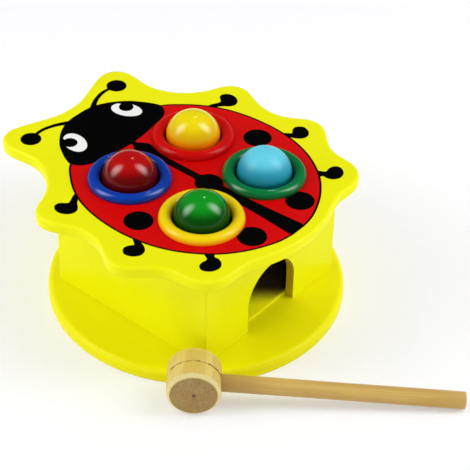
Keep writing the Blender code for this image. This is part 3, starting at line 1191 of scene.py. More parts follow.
@dataclass
class BaseBoard(Assembly):
    """Round base board with eight countersunk screws in its underside."""

    radius: float = 110 * MM
    thickness: float = 10 * MM
    top_round: float = 4.5 * MM
    top_steps: int = 8
    low_round: float = 1.2 * MM
    low_steps: int = 4
    support: float = 0.7 * MM
    segments: int = 160
    hole_radius: float = 3.7 * MM
    hole_depth: float = 2.9 * MM
    hole_play: float = 0.3 * MM
    screw_count: int = 8
    screw_step: float = 0.7
    screw_head: float = 3.4 * MM
    screw_edge: float = 0.15 * MM
    screw_drop: float = 2.4 * MM
    screw_length: float = 28 * MM
    screw_point: float = 3 * MM
    shank: float = 1.7 * MM
    cross_length: float = 1.9 * MM
    cross_width: float = 0.45 * MM
    cross_depth: float = 1.2 * MM
    cross_taper: float = 0.7

    def build(self, paint: Material, steel: Material) -> None:
        """Make the board and its screws.

        Args:
            paint: Finish of the board.
            steel: Finish of the screws.
        """
        numbers = range(1, self.screw_count + 1)
        spots = [node_centre(f"base_screw_{number}") for number in numbers]
        self.place_board(spots, paint)
        screw = self.screw_mesh()
        for number, spot in zip(numbers, spots):
            low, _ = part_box(f"base_screw_{number}")
            turn = Matrix.Rotation(self.screw_step * number, 4, "Z")
            pose = Matrix.Translation((spot.x, spot.y, low.z)) @ turn
            name, node = f"countersunk_screw_{number}", f"base_screw_{number}"
            self.place(name, screw.copy(), [steel], "screw_steel", (node,), pose)

    def place_board(self, screws: list[Vector], paint: Material) -> None:
        """Make the board.

        Args:
            screws: The middles of the screws.
            paint: Finish of the board.
        """
        inner, low = self.radius - self.top_round, self.radius - self.low_round
        top = self.thickness - self.top_round
        rim = [(inner - self.support, self.thickness)]
        rim += arc((inner, top), (self.top_round, self.top_round), 90, 0, self.top_steps)
        rim += arc((low, self.low_round), (self.low_round, self.low_round), 0, -90, self.low_steps)
        rim.append((low - self.support, 0.0))
        bm = bmesh.new()
        lathe(bm, rim, self.segments)
        fill_between(bm, circle(MIDDLE, rim[0][0], self.segments), self.thickness)
        holes = [circle((spot.x, spot.y), self.hole_radius, SCREW_STEPS) for spot in screws]
        fill_between(bm, circle(MIDDLE, rim[-1][0], self.segments), 0.0, holes)
        for spot, hole in zip(screws, holes):
            narrow = circle((spot.x, spot.y), self.shank + self.hole_play, SCREW_STEPS)
            skin(bm, [lifted(hole, 0.0), lifted(narrow, self.hole_depth)])
            fill_between(bm, narrow, self.hole_depth)
        mesh = finish_mesh("base_board", bm)
        self.place("base_board", mesh, [paint], "yellow_paint", ("base_disc",))

    def screw_mesh(self) -> Mesh:
        """Make one countersunk screw with a cross recess, head down on Z = 0.

        Returns:
            The screw's mesh.
        """
        rim = self.screw_head - self.screw_edge
        section = [
            (rim, 0.0), (self.screw_head, self.screw_edge), (self.shank, self.screw_drop),
            (self.shank, self.screw_length - self.screw_point), (0.0, self.screw_length),
        ]
        a, b = self.cross_width, self.cross_length
        arm = [Vector(corner) for corner in ((a, a), (a, b), (-a, b))]
        quarters = [Matrix.Rotation(QUARTER_TURN * number, 2) for number in range(4)]
        cross = [tuple(quarter @ corner) for quarter in quarters for corner in arm]
        small = [(x * self.cross_taper, y * self.cross_taper) for x, y in cross]
        bm = bmesh.new()
        lathe(bm, section, SCREW_STEPS)
        fill_between(bm, circle(MIDDLE, rim, SCREW_STEPS), 0.0, [cross])
        skin(bm, [lifted(cross, 0.0), lifted(small, self.cross_depth)])
        fill_between(bm, small, self.cross_depth)
        return finish_mesh("countersunk_screw", bm)


@dataclass
class WallBox(Assembly):
    """Four mitred walls; the front one has the arched door."""

    half_side: float = 71.5 * MM
    thickness: float = 7 * MM
    relief: float = 0.03 * MM
    foot: float = 10.03 * MM
    head: float = 89.97 * MM
    arch_half_width: float = 25.5 * MM
    arch_spring: float = 33.5 * MM
    arch_steps: int = 40
    edge: float = 0.35 * MM

    def build(self, paint: Material, bare: Material, sawn: Material) -> None:
        """Make the four boards.

        Args:
            paint: Finish of the outside and the edges.
            bare: Finish of the inside.
            sawn: Finish of the door's sawn edge.
        """
        for number, side in enumerate(("front_wall", "right_wall", "back_wall", "left_wall")):
            mesh = self.board_mesh(side + "_board", with_arch=number == 0)
            mesh.transform(Matrix.Rotation(QUARTER_TURN * number, 4, "Z"))
            finishes = [paint, bare, sawn]
            piece = self.place(side + "_board", mesh, finishes, "yellow_paint", (side,))
            ease(piece, self.edge)

    def board_mesh(self, name: str, with_arch: bool) -> Mesh:
        """Make one board as the front wall, its outer face to -Y.

        Args:
            name: The mesh's name.
            with_arch: Whether the arched door is cut in it.

        Returns:
            The mesh.
        """
        half, reach = self.half_side - self.relief, self.arch_half_width
        outline = [(half, self.foot), (half, self.head), (-half, self.head), (-half, self.foot)]
        corners = len(outline)
        if with_arch:
            bow = arc((0.0, self.arch_spring), (reach, reach), 180, 0, self.arch_steps)
            outline += [(-reach, self.foot), *bow, (reach, self.foot)]
        bm = bmesh.new()
        outer, inner = [], []
        for index, (x, z) in enumerate(outline):
            mitre = math.copysign(self.thickness, x) if index < corners else 0.0
            outer.append(bm.verts.new((x, -self.half_side, z)))
            inner.append(bm.verts.new((x - mitre, -self.half_side + self.thickness, z)))
        bm.faces.new(outer).material_index = WallFace.PAINTED.value
        bm.faces.new(inner).material_index = WallFace.BARE.value
        count = len(outline)
        for index in range(count):
            after = (index + 1) % count
            side = bm.faces.new((outer[index], outer[after], inner[after], inner[index]))
            if corners <= index < count - 1:
                side.material_index = WallFace.SAWN.value
        return finish_mesh(name, bm)


@dataclass
class TopPlate(Assembly):
    """Shaped plate with soft edges and four round holes."""

    half_width: float = 111.3 * MM
    head_reach: float = 140.8 * MM
    edge: float = 2.8 * MM
    edge_steps: int = 7
    support: float = 0.6 * MM
    hole_radius: float = 25.3 * MM
    curve_steps: int = 5
    shares: tuple[Point, ...] = (
        (0.000, 0.906), (0.090, 0.911), (0.180, 0.932), (0.279, 0.962), (0.373, 0.990),
        (0.449, 1.000), (0.526, 0.980), (0.573, 0.927), (0.580, 0.859), (0.568, 0.792),
        (0.565, 0.724), (0.584, 0.658), (0.629, 0.589), (0.701, 0.524), (0.786, 0.477),
        (0.872, 0.449), (0.934, 0.416), (0.970, 0.366), (0.969, 0.309), (0.939, 0.249),
        (0.907, 0.188), (0.888, 0.124), (0.889, 0.057), (0.915, -0.007), (0.959, -0.064),
        (0.995, -0.121), (0.994, -0.181), (0.957, -0.234), (0.897, -0.284), (0.841, -0.337),
        (0.809, -0.398), (0.799, -0.465), (0.785, -0.529), (0.739, -0.586), (0.660, -0.621),
        (0.571, -0.628), (0.481, -0.628), (0.386, -0.648), (0.279, -0.680), (0.144, -0.707),
        (0.000, -0.717),
    )

    def outline(self) -> Outline:
        """Give the plate's whole outline, counterclockwise."""
        half = [(x * self.half_width, y * self.head_reach) for x, y in self.shares]
        return smooth_loop(mirrored(half), self.curve_steps)[::-1]

    def build(self, paint: Material) -> None:
        """Make the plate.

        Args:
            paint: Finish of the plate.
        """
        low, high = (corner.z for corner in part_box("top_plate"))
        outline, edge = self.outline(), self.edge
        steps = [(edge + self.support, 0.0)]
        steps += [
            (edge - x, edge - y) for x, y in arc(MIDDLE, (edge, edge), 90, 0, self.edge_steps)
        ]
        rings = [lifted(inset(outline, depth), high - drop) for depth, drop in steps]
        rings += [lifted(inset(outline, depth), low + drop) for depth, drop in reversed(steps)]
        bm = bmesh.new()
        skin(bm, rings)
        flat = inset(outline, edge + self.support)
        holes = collar_circles(self.hole_radius)
        for level in (high, low):
            fill_between(bm, flat, level, holes)
        for hole in holes:
            skin(bm, [lifted(hole, high), lifted(hole, low)])
        mesh = finish_mesh("shaped_plate", bm)
        self.place("shaped_plate", mesh, [paint], "yellow_paint", ("top_plate",))


@dataclass
class Print(Assembly):
    """The ladybird, screen-printed on the plate in three inks. Its tables are in mm."""

    film: float = 0.04 * MM
    hole_radius: float = 27 * MM
    turn: float = math.radians(0.55)
    outline_outside: float = 0.9
    outline_inside: float = 0.6
    steps: int = 6
    spot_steps: int = 48
    body: tuple[Point, ...] = (
        (0, -91.5), (11, -90.9), (23, -87.9), (41, -79), (58, -65), (71, -46.5), (78.3, -29),
        (81.6, -13), (82.6, 3), (80.9, 22.8), (76.3, 40.6), (68.9, 55.4), (59.1, 68.1),
        (48.2, 78.1), (26, 88), (0, 91),
    )
    head: tuple[Point, ...] = (
        (0, 62), (10, 62.5), (20, 63.8), (29, 65.5), (37.7, 66.9), (44.9, 71), (48.8, 78),
        (47, 84.8), (43.2, 91.9), (38.2, 99.4), (31.4, 106), (24.6, 111), (16, 115.1),
        (8, 116.7), (0, 116.9),
    )
    stripe: tuple[Point, ...] = (
        (0, -91.6), (3.5, -91.4), (7.1, -90.3), (6.8, -82), (5.6, -65), (4.6, -45), (4.1, -30),
        (4.3, -21.5), (8.4, -17), (10.2, -11), (8.6, -5), (3.6, -0.5), (3.2, 6), (3.1, 20),
        (3.4, 34), (4.2, 41), (6, 46.5), (7, 52), (4.6, 57), (2.3, 60), (2.3, 64), (0, 65),
    )
    feet: tuple[tuple[Point, ...], ...] = (
        (
            (64.6, 54.8), (70.6, 52.3), (75.6, 50.6), (79.6, 48.6), (82.1, 47.8), (84.1, 49.3),
            (86.1, 51.8), (88.6, 53.1), (91.6, 52.5), (94.1, 49.8), (95, 46.3), (94.1, 42.3),
            (91.6, 38.8), (88.1, 37.1), (84.6, 37.3), (81.6, 39.5), (79.1, 42.5), (76.1, 44.9),
            (73.6, 46.3), (67.6, 49.3),
        ),
        (
            (77.6, -9.1), (82.6, -13.1), (86.3, -17.6), (89.6, -15.6), (93.3, -14.7),
            (96.6, -16.6), (98.3, -20.1), (96.6, -25.1), (93.1, -28.1), (89.4, -28.8),
            (85.4, -26.9), (82.6, -22.9), (81.1, -19.9), (76.6, -17.6),
        ),
        (
            (59.2, -55.7), (63, -60.7), (64.5, -63.7), (66.1, -65.3), (69.7, -64.7),
            (73.7, -65.4), (76.3, -68.5), (75.9, -72.2), (72.4, -76.2), (66.7, -77.6),
            (62, -75), (59.9, -70.5), (60.1, -67.4), (57.2, -65), (53.7, -61.2),
        ),
    )
    antenna: tuple[Point, ...] = (
        (46.7, 122.1), (39, 123.7), (31.2, 124), (22.9, 121.9), (16.4, 118.9), (8.7, 113.9),
        (11.6, 110.6), (18.6, 115.7), (24.1, 118.7), (31.7, 120.9), (39, 120.9), (45.7, 119.7),
    )
    knob: tuple[Point, float] = ((46.0, 120.9), 7.65)
    spots: tuple[tuple[Point, float], ...] = (((65.0, -2.4), 10.5), ((26.5, -72.4), 10.5))
    eye: tuple[Point, Point] = ((27.8, 93.8), (7.9, 12.1))
    eye_lean: float = math.radians(21)
    eye_steps: int = 56
    eyelid: tuple[Point, ...] = (
        (29.8, 103), (35.8, 97), (37.0, 98.0), (34.5, 101.6), (31, 104.8)
    )
    pupil: tuple[Point, float] = ((30.3, 96.5), 5.5)
    pupil_steps: int = 40

    def shapes(self) -> list[tuple[Ink, Outline]]:
        """Give every printed shape in the order of printing, in mm.

        Returns:
            Pairs of the ink and the outline.
        """
        body = self.closed(mirrored(self.body))
        made: list[tuple[Ink, Outline]] = []
        for foot in self.feet:
            made += self.pair(Ink.BLACK, self.closed(foot))
        made.append((Ink.BLACK, inset(body, -self.outline_outside)))
        made.append((Ink.RED, inset(body, self.outline_inside)))
        made += self.pair(Ink.BLACK, self.closed(self.antenna))
        made += self.pair(Ink.BLACK, circle(*self.knob, self.spot_steps))
        made.append((Ink.BLACK, self.closed(mirrored(self.head))))
        made.append((Ink.BLACK, self.closed(mirrored(self.stripe))))
        for spot in self.spots:
            made += self.pair(Ink.BLACK, circle(*spot, self.spot_steps))
        made += self.pair(Ink.WHITE, leaning_oval(*self.eye, self.eye_lean, self.eye_steps))
        made += self.pair(Ink.BLACK, list(self.eyelid))
        made += self.pair(Ink.BLACK, circle(*self.pupil, self.pupil_steps))
        return made

    def closed(self, points: Sequence[Point]) -> Outline:
        """Run a smooth closed outline through points."""
        return smooth_loop(points, self.steps)

    @staticmethod
    def pair(ink: Ink, outline: Outline) -> list[tuple[Ink, Outline]]:
        """Give a shape and its mirror image in one ink."""
        return [(ink, outline), (ink, [(-x, y) for x, y in reversed(outline)])]

    def build(self, inks: dict[Ink, Material]) -> None:
        """Make one thin piece for each ink, none of which overlap.

        Args:
            inks: The material of each ink.
        """
        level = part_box("top_plate")[1].z + self.film
        turn = Matrix.Rotation(self.turn, 2) * MM
        shapes: list[tuple[Ink | None, Outline]] = [
            (ink, [tuple(turn @ Vector(point)) for point in outline])
            for ink, outline in self.shapes()
        ]
        shapes += [(None, hole) for hole in collar_circles(self.hole_radius)]
        points, faces, middles = triangulated([outline for _, outline in shapes])
        chosen: list[Ink | None] = [None] * len(faces)
        for ink, outline in shapes:
            for index in np.flatnonzero(inside(outline, middles)):
                chosen[index] = ink
        for ink in Ink:
            printed = [face for face, choice in zip(faces, chosen) if choice is ink]
            corners = dict.fromkeys(corner for face in printed for corner in face)
            rows = {corner: row for row, corner in enumerate(corners)}
            mesh = bpy.data.meshes.new(ink.value)
            mesh.from_pydata(
                [(*points[corner], level) for corner in corners], [],
                [[rows[corner] for corner in face] for face in printed],
            )
            self.place(ink.value, mesh, [inks[ink]], "yellow_paint")


@dataclass
class Ramp(Assembly):
    """Ramp board behind the door, its front lip eased by hand."""

    reach: float = 64.3 * MM
    foot: float = 10.2 * MM
    lip: float = 1.7 * MM
    slope: float = math.radians(15)
    thickness: float = 5 * MM
    edge: float = 0.5 * MM

    def build(self, paint: Material) -> None:
        """Make the board.

        Args:
            paint: Finish of the board.
        """
        reach, top = self.reach, self.foot + self.lip
        drop = self.thickness / math.cos(self.slope)
        head = top + 2 * reach * math.tan(self.slope)
        heel = -reach + (drop - self.lip) / math.tan(self.slope)
        profile = [
            (-reach, self.foot), (heel, self.foot), (reach, head - drop), (reach, head),
            (-reach, top),
        ]
        bm = bmesh.new()
        left, right = ([bm.verts.new((x, y, z)) for y, z in profile] for x in (-reach, reach))
        bm.faces.new(left)
        bm.faces.new(right)
        for index in range(len(profile)):
            after = (index + 1) % len(profile)
            bm.faces.new((left[index], left[after], right[after], right[index]))
        mesh = finish_mesh("ramp", bm)
        ease(self.place("ramp", mesh, [paint], "yellow_paint", ("ramp_board",)), self.edge)


@dataclass
class Collar(Assembly):
    """Moulded collar: a round bead on the plate and a sleeve through it."""

    node: str
    slot: str
    bead_radius: float = 30.5 * MM
    bead_height: float = 5.5 * MM
    bead_steps: int = 12
    foot_angle: float = 4.0
    crest_radius: float = 25.6 * MM
    mouth_radius: float = 20.9 * MM
    mouth_depth: float = 2 * MM
    sleeve_radius: float = 25 * MM
    sleeve_wall: float = 1.8 * MM
    sleeve_depth: float = 12 * MM
    lead: float = 0.25 * MM
    ridge: float = 0.9 * MM
    ridge_depth: float = 10.3 * MM
    seat: float = 0.15 * MM
    segments: int = 112

    def section(self) -> Outline:
        """Outline the collar's wall from the foot of the bead round and back.

        Returns:
            Points of radius and height above the plate.
        """
        crest, height, lead = self.crest_radius, self.bead_height, self.lead
        mouth, mouth_foot = self.mouth_radius, -self.mouth_depth
        sleeve, foot = self.sleeve_radius, -self.sleeve_depth
        bore = sleeve - self.sleeve_wall
        outside = arc(
            (crest, 0.0), (self.bead_radius - crest, height), self.foot_angle, 90,
            self.bead_steps,
        )
        inner = arc((crest, 0.0), (crest - mouth, height), 90, 180, self.bead_steps)
        below = [
            (mouth, mouth_foot + lead), (mouth + lead, mouth_foot), (bore, mouth_foot),
            (bore, foot + lead), (bore + lead, foot), (sleeve - lead, foot),
            (sleeve + self.ridge, -self.ridge_depth), (sleeve, -self.ridge_depth),
            (sleeve, self.seat),
        ]
        return [(self.bead_radius, self.seat), *outside[1:], *inner[1:], *below]

    def build(self, plastic: Material) -> None:
        """Make the collar.

        Args:
            plastic: Its finish.
        """
        spot = node_centre(self.node)
        spot.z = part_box("top_plate")[1].z
        bm = bmesh.new()
        lathe(bm, self.section(), self.segments, closed=True)
        mesh = finish_mesh(self.node, bm)
        pose = Matrix.Translation(spot)
        self.place(self.node + "_ring", mesh, [plastic], self.slot, (self.node,), pose)


@dataclass
class Ball(Assembly):
    """Turned wooden ball with a small flat where it was parted from the lathe."""

    node: str
    slot: str
    tilt: Triple
    radius: float = 20 * MM
    flat_radius: float = 1.6 * MM
    unevenness: float = 0.0012
    ridges: float = 3.0
    rings: int = 56
    segments: int = 96

    def build(self, lacquer: Material) -> None:
        """Make the ball.

        Args:
            lacquer: Its finish.
        """
        start = math.asin(self.flat_radius / self.radius)
        pole = self.radius * math.cos(start)
        section = [(0.0, -pole)]
        for index in range(self.rings + 1):
            angle = start + (math.pi - 2.0 * start) * index / self.rings
            swell = 1.0 - self.unevenness * math.sin(self.ridges * angle) ** 2
            reach = self.radius * swell
            section.append((reach * math.sin(angle), -reach * math.cos(angle)))
        section.append((0.0, pole))
        turn = Euler(self.tilt).to_matrix().to_4x4()
        mesh = turned_mesh(self.node, section, self.segments, turn)
        pose = Matrix.Translation(node_centre(self.node))
        name = "turned_" + self.node
        self.place(name, mesh, [lacquer], self.slot, (self.node,), pose, self.node)


@dataclass
class Mallet(Assembly):
    """Loose mallet: a turned head with a scorched groove, and a dowel handle."""

    head_radius: float = 19 * MM
    head_length: float = 30 * MM
    head_segments: int = 96
    chamfer: float = 2.5 * MM
    groove_half: float = 0.7 * MM
    groove_depth: float = 0.6 * MM
    handle_radius: float = 6.2 * MM
    handle_reach: float = 188.5 * MM
    handle_tail: float = 8 * MM
    handle_chamfer: float = 0.6 * MM
    handle_waist: float = 0.05 * MM
    handle_waves: float = 9.0
    handle_rings: int = 24
    handle_segments: int = 48
    clearance: float = 0.2 * MM
    drill_reach: float = 30 * MM
    distance: float = 125.4 * MM
    bearing: float = math.radians(220.6)
    turn: float = math.radians(39.7)
    sharp: float = 40.0

    def build(self, head_wood: Material, handle_wood: Material) -> None:
        """Make the head and the handle.

        Args:
            head_wood: Finish of the head.
            handle_wood: Finish of the handle.
        """
        pose, along_x = self.pose(), Matrix.Rotation(QUARTER_TURN, 4, "Y")
        name = "turned_mallet_head"
        mesh = turned_mesh(name, self.head_section(), self.head_segments, along_x, self.sharp)
        head = self.place(
            name, mesh, [head_wood], "mallet_head_wood", ("mallet_head",), pose,
            Body.MALLET.value,
        )
        self.drill(head, pose)
        name = "mallet_handle_dowel"
        mesh = turned_mesh(
            name, self.handle_section(), self.handle_segments, along_x, self.sharp
        )
        self.place(
            name, mesh, [handle_wood], "mallet_handle_wood", ("mallet_handle",),
            pose @ Matrix.Rotation(-QUARTER_TURN, 4, "Z"), Body.MALLET.value,
        )

    def pose(self) -> Matrix:
        """Give the pose of the mallet: X along the head, the handle towards -Y.

        Returns:
            The pose as a matrix.
        """
        tilt = math.asin((self.head_radius - self.handle_radius) / self.handle_reach)
        x, y = self.distance * math.cos(self.bearing), self.distance * math.sin(self.bearing)
        turn = Euler((tilt, 0.0, self.turn)).to_matrix().to_4x4()
        return Matrix.Translation((x, y, self.head_radius)) @ turn

    def head_section(self) -> Outline:
        """Outline the head from one end to the other, with eased ends and the groove.

        Returns:
            Points of radius and place along the head.
        """
        half, radius, edge = self.head_length / 2, self.head_radius, self.chamfer
        upper = [
            (0.0, half), (radius * 0.5, half), (radius - edge - 0.5 * MM, half),
            (radius - edge, half - 0.06 * MM), (radius - edge * 0.55, half - edge * 0.45),
            (radius - 0.35 * MM, half - edge + 0.25 * MM),
            (radius - 0.12 * MM, half - edge - 0.2 * MM), (radius, 4 * MM),
            (radius, self.groove_half + 0.15 * MM),
            (radius - self.groove_depth * 0.45, self.groove_half * 0.5),
            (radius - self.groove_depth, 0.0),
        ]
        return upper + [(reach, -place) for reach, place in reversed(upper[:-1])]

    def handle_section(self) -> Outline:
        """Outline the handle from its tail to its end, with a slight waist.

        Returns:
            Points of radius and place along the handle.
        """
        radius, reach, edge = self.handle_radius, self.handle_reach, self.handle_chamfer
        tail, waist = -self.handle_tail, self.handle_waist
        section = [(0.0, tail), (radius - edge, tail), (radius, tail + edge)]
        for share in (index / self.handle_rings for index in range(1, self.handle_rings)):
            place = tail + edge + (reach - edge * 2 - tail) * share
            section.append((radius + waist * math.sin(self.handle_waves * share) - waist, place))
        return section + [
            (radius, reach - edge), (radius - edge * 0.3, reach - edge * 0.3),
            (radius - edge, reach), (0.0, reach),
        ]

    def drill(self, head: Object, pose: Matrix) -> None:
        """Bore the handle's hole in the head.

        Args:
            head: The head.
            pose: The pose of the mallet.
        """
        wide, low = self.handle_radius + self.clearance, -self.handle_tail - self.clearance
        section = [(0.0, low), (wide, low), (wide, self.drill_reach), (0.0, self.drill_reach)]
        along_y = Matrix.Rotation(QUARTER_TURN, 4, "X")
        mesh = turned_mesh("handle_drill", section, self.handle_segments, along_y)
        drill = in_scene("handle_drill", mesh)
        drill.matrix_world = pose
        bpy.context.view_layer.update()
        hole = head.modifiers.new("handle hole", "BOOLEAN")
        hole.operation = "DIFFERENCE"
        hole.solver = "EXACT"
        hole.object = drill
        settle(head)
        bpy.data.objects.remove(drill)


# Studio


@dataclass
class SoftBox:
    """One soft lamp that looks at the bench."""

    name: str
    towards: Triple
    distance: float
    width: float
    height: float
    radiance: float
    core: float = 0.1
    aim_height: float = 60 * MM

    def build(self) -> None:
        """Hang the lamp, brightest within its core and fading to its rim."""
        light = bpy.data.lights.new(self.name, "AREA")
        light.shape = "RECTANGLE"
        light.size, light.size_y = self.width, self.height
        light.energy = self.radiance * math.pi * self.width * self.height
        light.use_nodes = True
        graph = Graph(light.node_tree)
        across, along, _ = (
            graph.math("MULTIPLY_ADD", share, 2.0, -1.0)
            for share in graph.axes(graph.add("NewGeometry").outputs["Parametric"])
        )
        fade = graph.span(graph.distance(across, along), self.core, 1.0, 1.0, 0.0)
        graph.fill(light.node_tree.nodes["Emission"], Strength=fade)
        lamp = in_scene(self.name, light)
        direction = Vector(self.towards).normalized()
        lamp.location = direction * self.distance + Vector((0.0, 0.0, self.aim_height))
        lamp.rotation_euler = (-direction).to_track_quat("-Z", "Y").to_euler()


@dataclass
class Studio:
    """Floor, surrounding light, lamps and camera."""

    camera_place: Triple = (-0.775839, -0.674266, 0.880204)
    camera_right: Triple = (0.64792407, -0.76142154, 0.02077602)
    camera_up: Triple = (0.46919643, 0.4204477, 0.77658125)
    camera_back: Triple = (-0.60004092, -0.49341765, 0.62967445)
    lens: float = 138.369
    sensor_width: float = 36.0
    clip_end: float = 50.0
    floor_size: float = 1.9
    floor_gap: float = 0.03 * MM
    horizon: float = 1.58
    middle: float = 0.37
    ceiling: float = 0.42
    mirrored_ceiling: float = 0.035
    middle_rises: Point = (0.1, 0.45)
    ceiling_rises: Point = (0.6, 0.95)
    backdrop_ends: Point = (-0.05, 0.02)
    boxes: tuple[SoftBox, ...] = (
        SoftBox("left_softbox", (-0.607, 0.534, 0.585), 1.5, 1.2, 2.2, 4.65),
        SoftBox("right_softbox", (0.449, -0.582, 0.679), 1.5, 1.2, 2.2, 4.8),
        SoftBox("overhead_lamp", (0.4605, 0.2443, 0.8528), 1.6, 0.09, 0.09, 26.0, 0.99),
    )

    def build(self) -> None:
        """Set up the floor, the light and the camera."""
        self.floor()
        self.surroundings()
        for box in self.boxes:
            box.build()
        self.camera()
        bpy.context.scene.view_settings.view_transform = "Standard"

    def floor(self) -> None:
        """Lay the paper that the bench stands on."""
        half = self.floor_size / 2
        bm = bmesh.new()
        corners = [(-half, -half), (half, -half), (half, half), (-half, half)]
        fill_between(bm, corners, -self.floor_gap)
        paper = in_scene("studio_floor", finish_mesh("studio_floor", bm))
        paper.data.materials.append(StudioPaper("studio_paper").build())

    def surroundings(self) -> None:
        """Light the world: white to the camera, and a dim ceiling over white in mirrors."""
        world = bpy.data.worlds.new("studio_room")
        bpy.context.scene.world = world
        world.use_nodes = True
        graph = Graph(world.node_tree)
        *_, up = graph.axes(graph.add("TexCoord").outputs["Generated"])
        low = graph.span(up, *self.middle_rises, self.horizon, self.middle)
        high = graph.span(up, *self.ceiling_rises, 0.0, self.ceiling - self.middle)
        mirrored_room = graph.span(up, *self.backdrop_ends, 1.0, self.mirrored_ceiling)
        path = graph.add("LightPath").outputs
        level = graph.blend(path["Is Glossy Ray"], graph.math("ADD", low, high), mirrored_room)
        straight = graph.math("MAXIMUM", path["Is Camera Ray"], path["Is Transmission Ray"])
        graph.fill(
            world.node_tree.nodes["Background"], Color=(1.0, 1.0, 1.0),
            Strength=graph.blend(straight, level, 1.0),
        )

    def camera(self) -> None:
        """Stand the camera where the photograph was taken from."""
        data = bpy.data.cameras.new("photo_camera")
        data.lens, data.sensor_width, data.clip_end = self.lens, self.sensor_width, self.clip_end
        camera = in_scene("photo_camera", data)
        columns = Matrix((self.camera_right, self.camera_up, self.camera_back)).transposed()
        camera.matrix_world = Matrix.Translation(self.camera_place) @ columns.to_4x4()
        bpy.context.scene.camera = camera


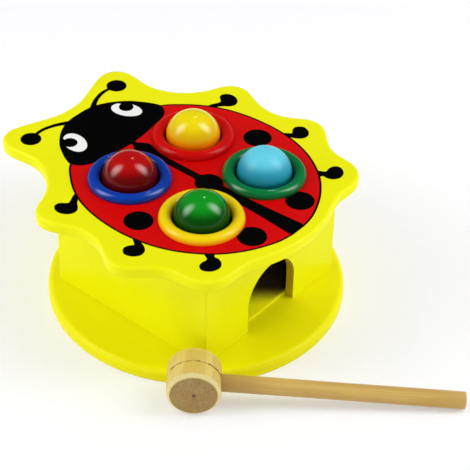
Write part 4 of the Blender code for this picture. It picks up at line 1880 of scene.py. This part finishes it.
@dataclass
class Bench:
    """The whole toy: every sub-assembly with its finishes."""

    dowels: int = 8

    def build(self) -> None:
        """Make every piece with its finish."""
        bare = BareBoard("bare_fibreboard_painted_dark").build()
        paint = PaintedBoard("yellow_board_paint").build()
        # painted light: the base takes a lighter, warmer copy of the yellow paint so that it reads
        # brighter
        base = PaintedBoard("base_paint_painted_lighter", (0.91, 0.86, 0.002), (0.88, 0.81, 0.001), coat=0.06)
        BaseBoard().build(base.build(), ZincSteel("zinc_screw_steel").build())
        sawn = PaintedBoard(
            "door_edge_paint", (0.80, 0.63, 0.008), (0.42, 0.27, 0.02), (0.72, 0.52, 0.04),
            mottle=0.9,
        )
        WallBox().build(PaintedBoard("wall_paint", ply=0.0).build(), bare, sawn.build())
        TopPlate().build(paint)
        inks = {
            Ink.RED: ScreenInk("red_screen_ink", (0.66, 0.001, 0.001), (0.59, 0.001, 0.001)),
            Ink.BLACK: ScreenInk(
                "black_screen_ink", (0.0005, 0.0005, 0.0005), (0.0015, 0.0012, 0.001), 0.45
            ),
            Ink.WHITE: ScreenInk("white_screen_ink", (0.88, 0.88, 0.86), (0.82, 0.82, 0.78)),
        }
        Print().build({ink: finish.build() for ink, finish in inks.items()})
        # ramp paint: a lighter copy of the board paint as painted light, and dark bare board along
        # the jamb's shadow as painted shadow
        ramp_paint_and_shadow = PaintedBoard(
            "ramp_paint_with_painted_light_and_shadow", (0.95, 0.90, 0.002), (0.92, 0.85, 0.001), jamb_shadow_edge=-61.2 * MM
        )
        Ramp().build(ramp_paint_and_shadow.build())
        for collar, plastic, ball, lacquer in self.collar_sets():
            collar.build(plastic.build())
            ball.build(lacquer.build())
        pale = TurnedWood(
            "pale_head_wood", (0.74, 0.57, 0.15), (0.60, 0.41, 0.08), (0.34, 0.215, 0.07),
            groove_half_width=0.7 * MM,
        )
        # the dowel gets a painted shadow of the head near its socket
        dowel = TurnedWood(
            "pale_dowel_wood", (0.66, 0.43, 0.11), (0.53, 0.31, 0.07), (0.64, 0.44, 0.15),
            300.0, 6 * MM, socket_shadow_share=0.55,
        )
        Mallet().build(pale.build(), dowel.build())
        self.dress_kept_nodes(bare)

    def collar_sets(self) -> list[tuple[Collar, MouldedPlastic, Ball, Lacquer]]:
        """Pair each collar and its plastic with its ball and its lacquer.

        Returns:
            One row for each hole.
        """
        # each plastic: colour, deep tone, and the painted shade and reflection colour at the
        # bead's foot
        plastics = (
            ((0.001, 0.048, 0.40), (0.001, 0.034, 0.33), (0.0, 0.004, 0.10)),
            ((0.64, 0.001, 0.001), (0.57, 0.0005, 0.0005), (0.50, 0.0, 0.0), 0.36, 0.3),
            ((0.88, 0.66, 0.001), (0.87, 0.60, 0.001), (0.84, 0.18, 0.0), 0.4, 0.5),
            ((0.001, 0.20, 0.045), (0.001, 0.15, 0.03), (0.0, 0.035, 0.0)),
        )
        balls = (("red", (0.5, 0.3, 0.2)), ("yellow", (1.2, -0.4, 0.8)),
                 ("green", (-0.7, 0.9, 0.1)), ("light_blue", (0.2, 1.3, -0.6)))
        # each lacquer: colour, deep tone, then two painted shade colours for the lower half and
        # the underside; the yellow ball's underside colour is also a painted orange reflection
        lacquers = (
            ((0.48, 0.0008, 0.0006), (0.43, 0.0004, 0.0004), (0.10, 0.0, 0.0), (0.08, 0.0, 0.0)),
            ((0.88, 0.72, 0.001), (0.87, 0.66, 0.001), (0.82, 0.48, 0.0), (0.80, 0.09, 0.0)),
            ((0.003, 0.30, 0.012), (0.002, 0.27, 0.009), (0.0, 0.045, 0.0), (0.0, 0.035, 0.0)),
            ((0.125, 0.63, 0.80), (0.10, 0.59, 0.76), (0.006, 0.27, 0.41), (0.0, 0.12, 0.13),
             0.42, 0.45, 0.3),
        )
        return [
            (
                Collar(colour + "_collar", colour + "_plastic"),
                MouldedPlastic(colour + "_collar_plastic", *plastic),
                Ball(ball + "_ball", ball + "_lacquer", tilt),
                Lacquer(ball + "_ball_lacquer", *lacquer),
            )
            for colour, plastic, (ball, tilt), lacquer in zip(COLLARS, plastics, balls, lacquers)
        ]

    def dress_kept_nodes(self, bare: Material) -> None:
        """Give the CAD nodes that stay their procedural finishes.

        Args:
            bare: Finish of the boards inside.
        """
        grip = MouldedPlastic(
            "dark_grip_plastic", (0.012, 0.012, 0.013), (0.008, 0.008, 0.009),
            (0.004, 0.004, 0.004), 0.45, 0.1,
        ).build()
        plain = TurnedWood(
            "plain_beech", (0.60, 0.43, 0.22), (0.48, 0.30, 0.12), (0.4, 0.27, 0.12)
        ).build()
        kept = {colour + "_collar_grip": grip for colour in COLLARS}
        kept |= {f"plate_dowel_{number}": plain for number in range(1, self.dowels + 1)}
        kept |= dict.fromkeys(("ramp_batten", "left_guide", "right_guide"), bare)
        for name, material in kept.items():
            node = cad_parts[name]
            node.data.materials.clear()
            node.data.materials.append(material)


def main() -> None:
    """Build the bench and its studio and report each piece."""
    logging.basicConfig(level=logging.INFO, format="%(name)s: %(message)s")
    Bench().build()
    Studio().build()
    for piece in Assembly.pieces:
        LOG.info("made %s with %d faces", piece.name, len(piece.data.polygons))


if __name__ == "__main__":
    main()
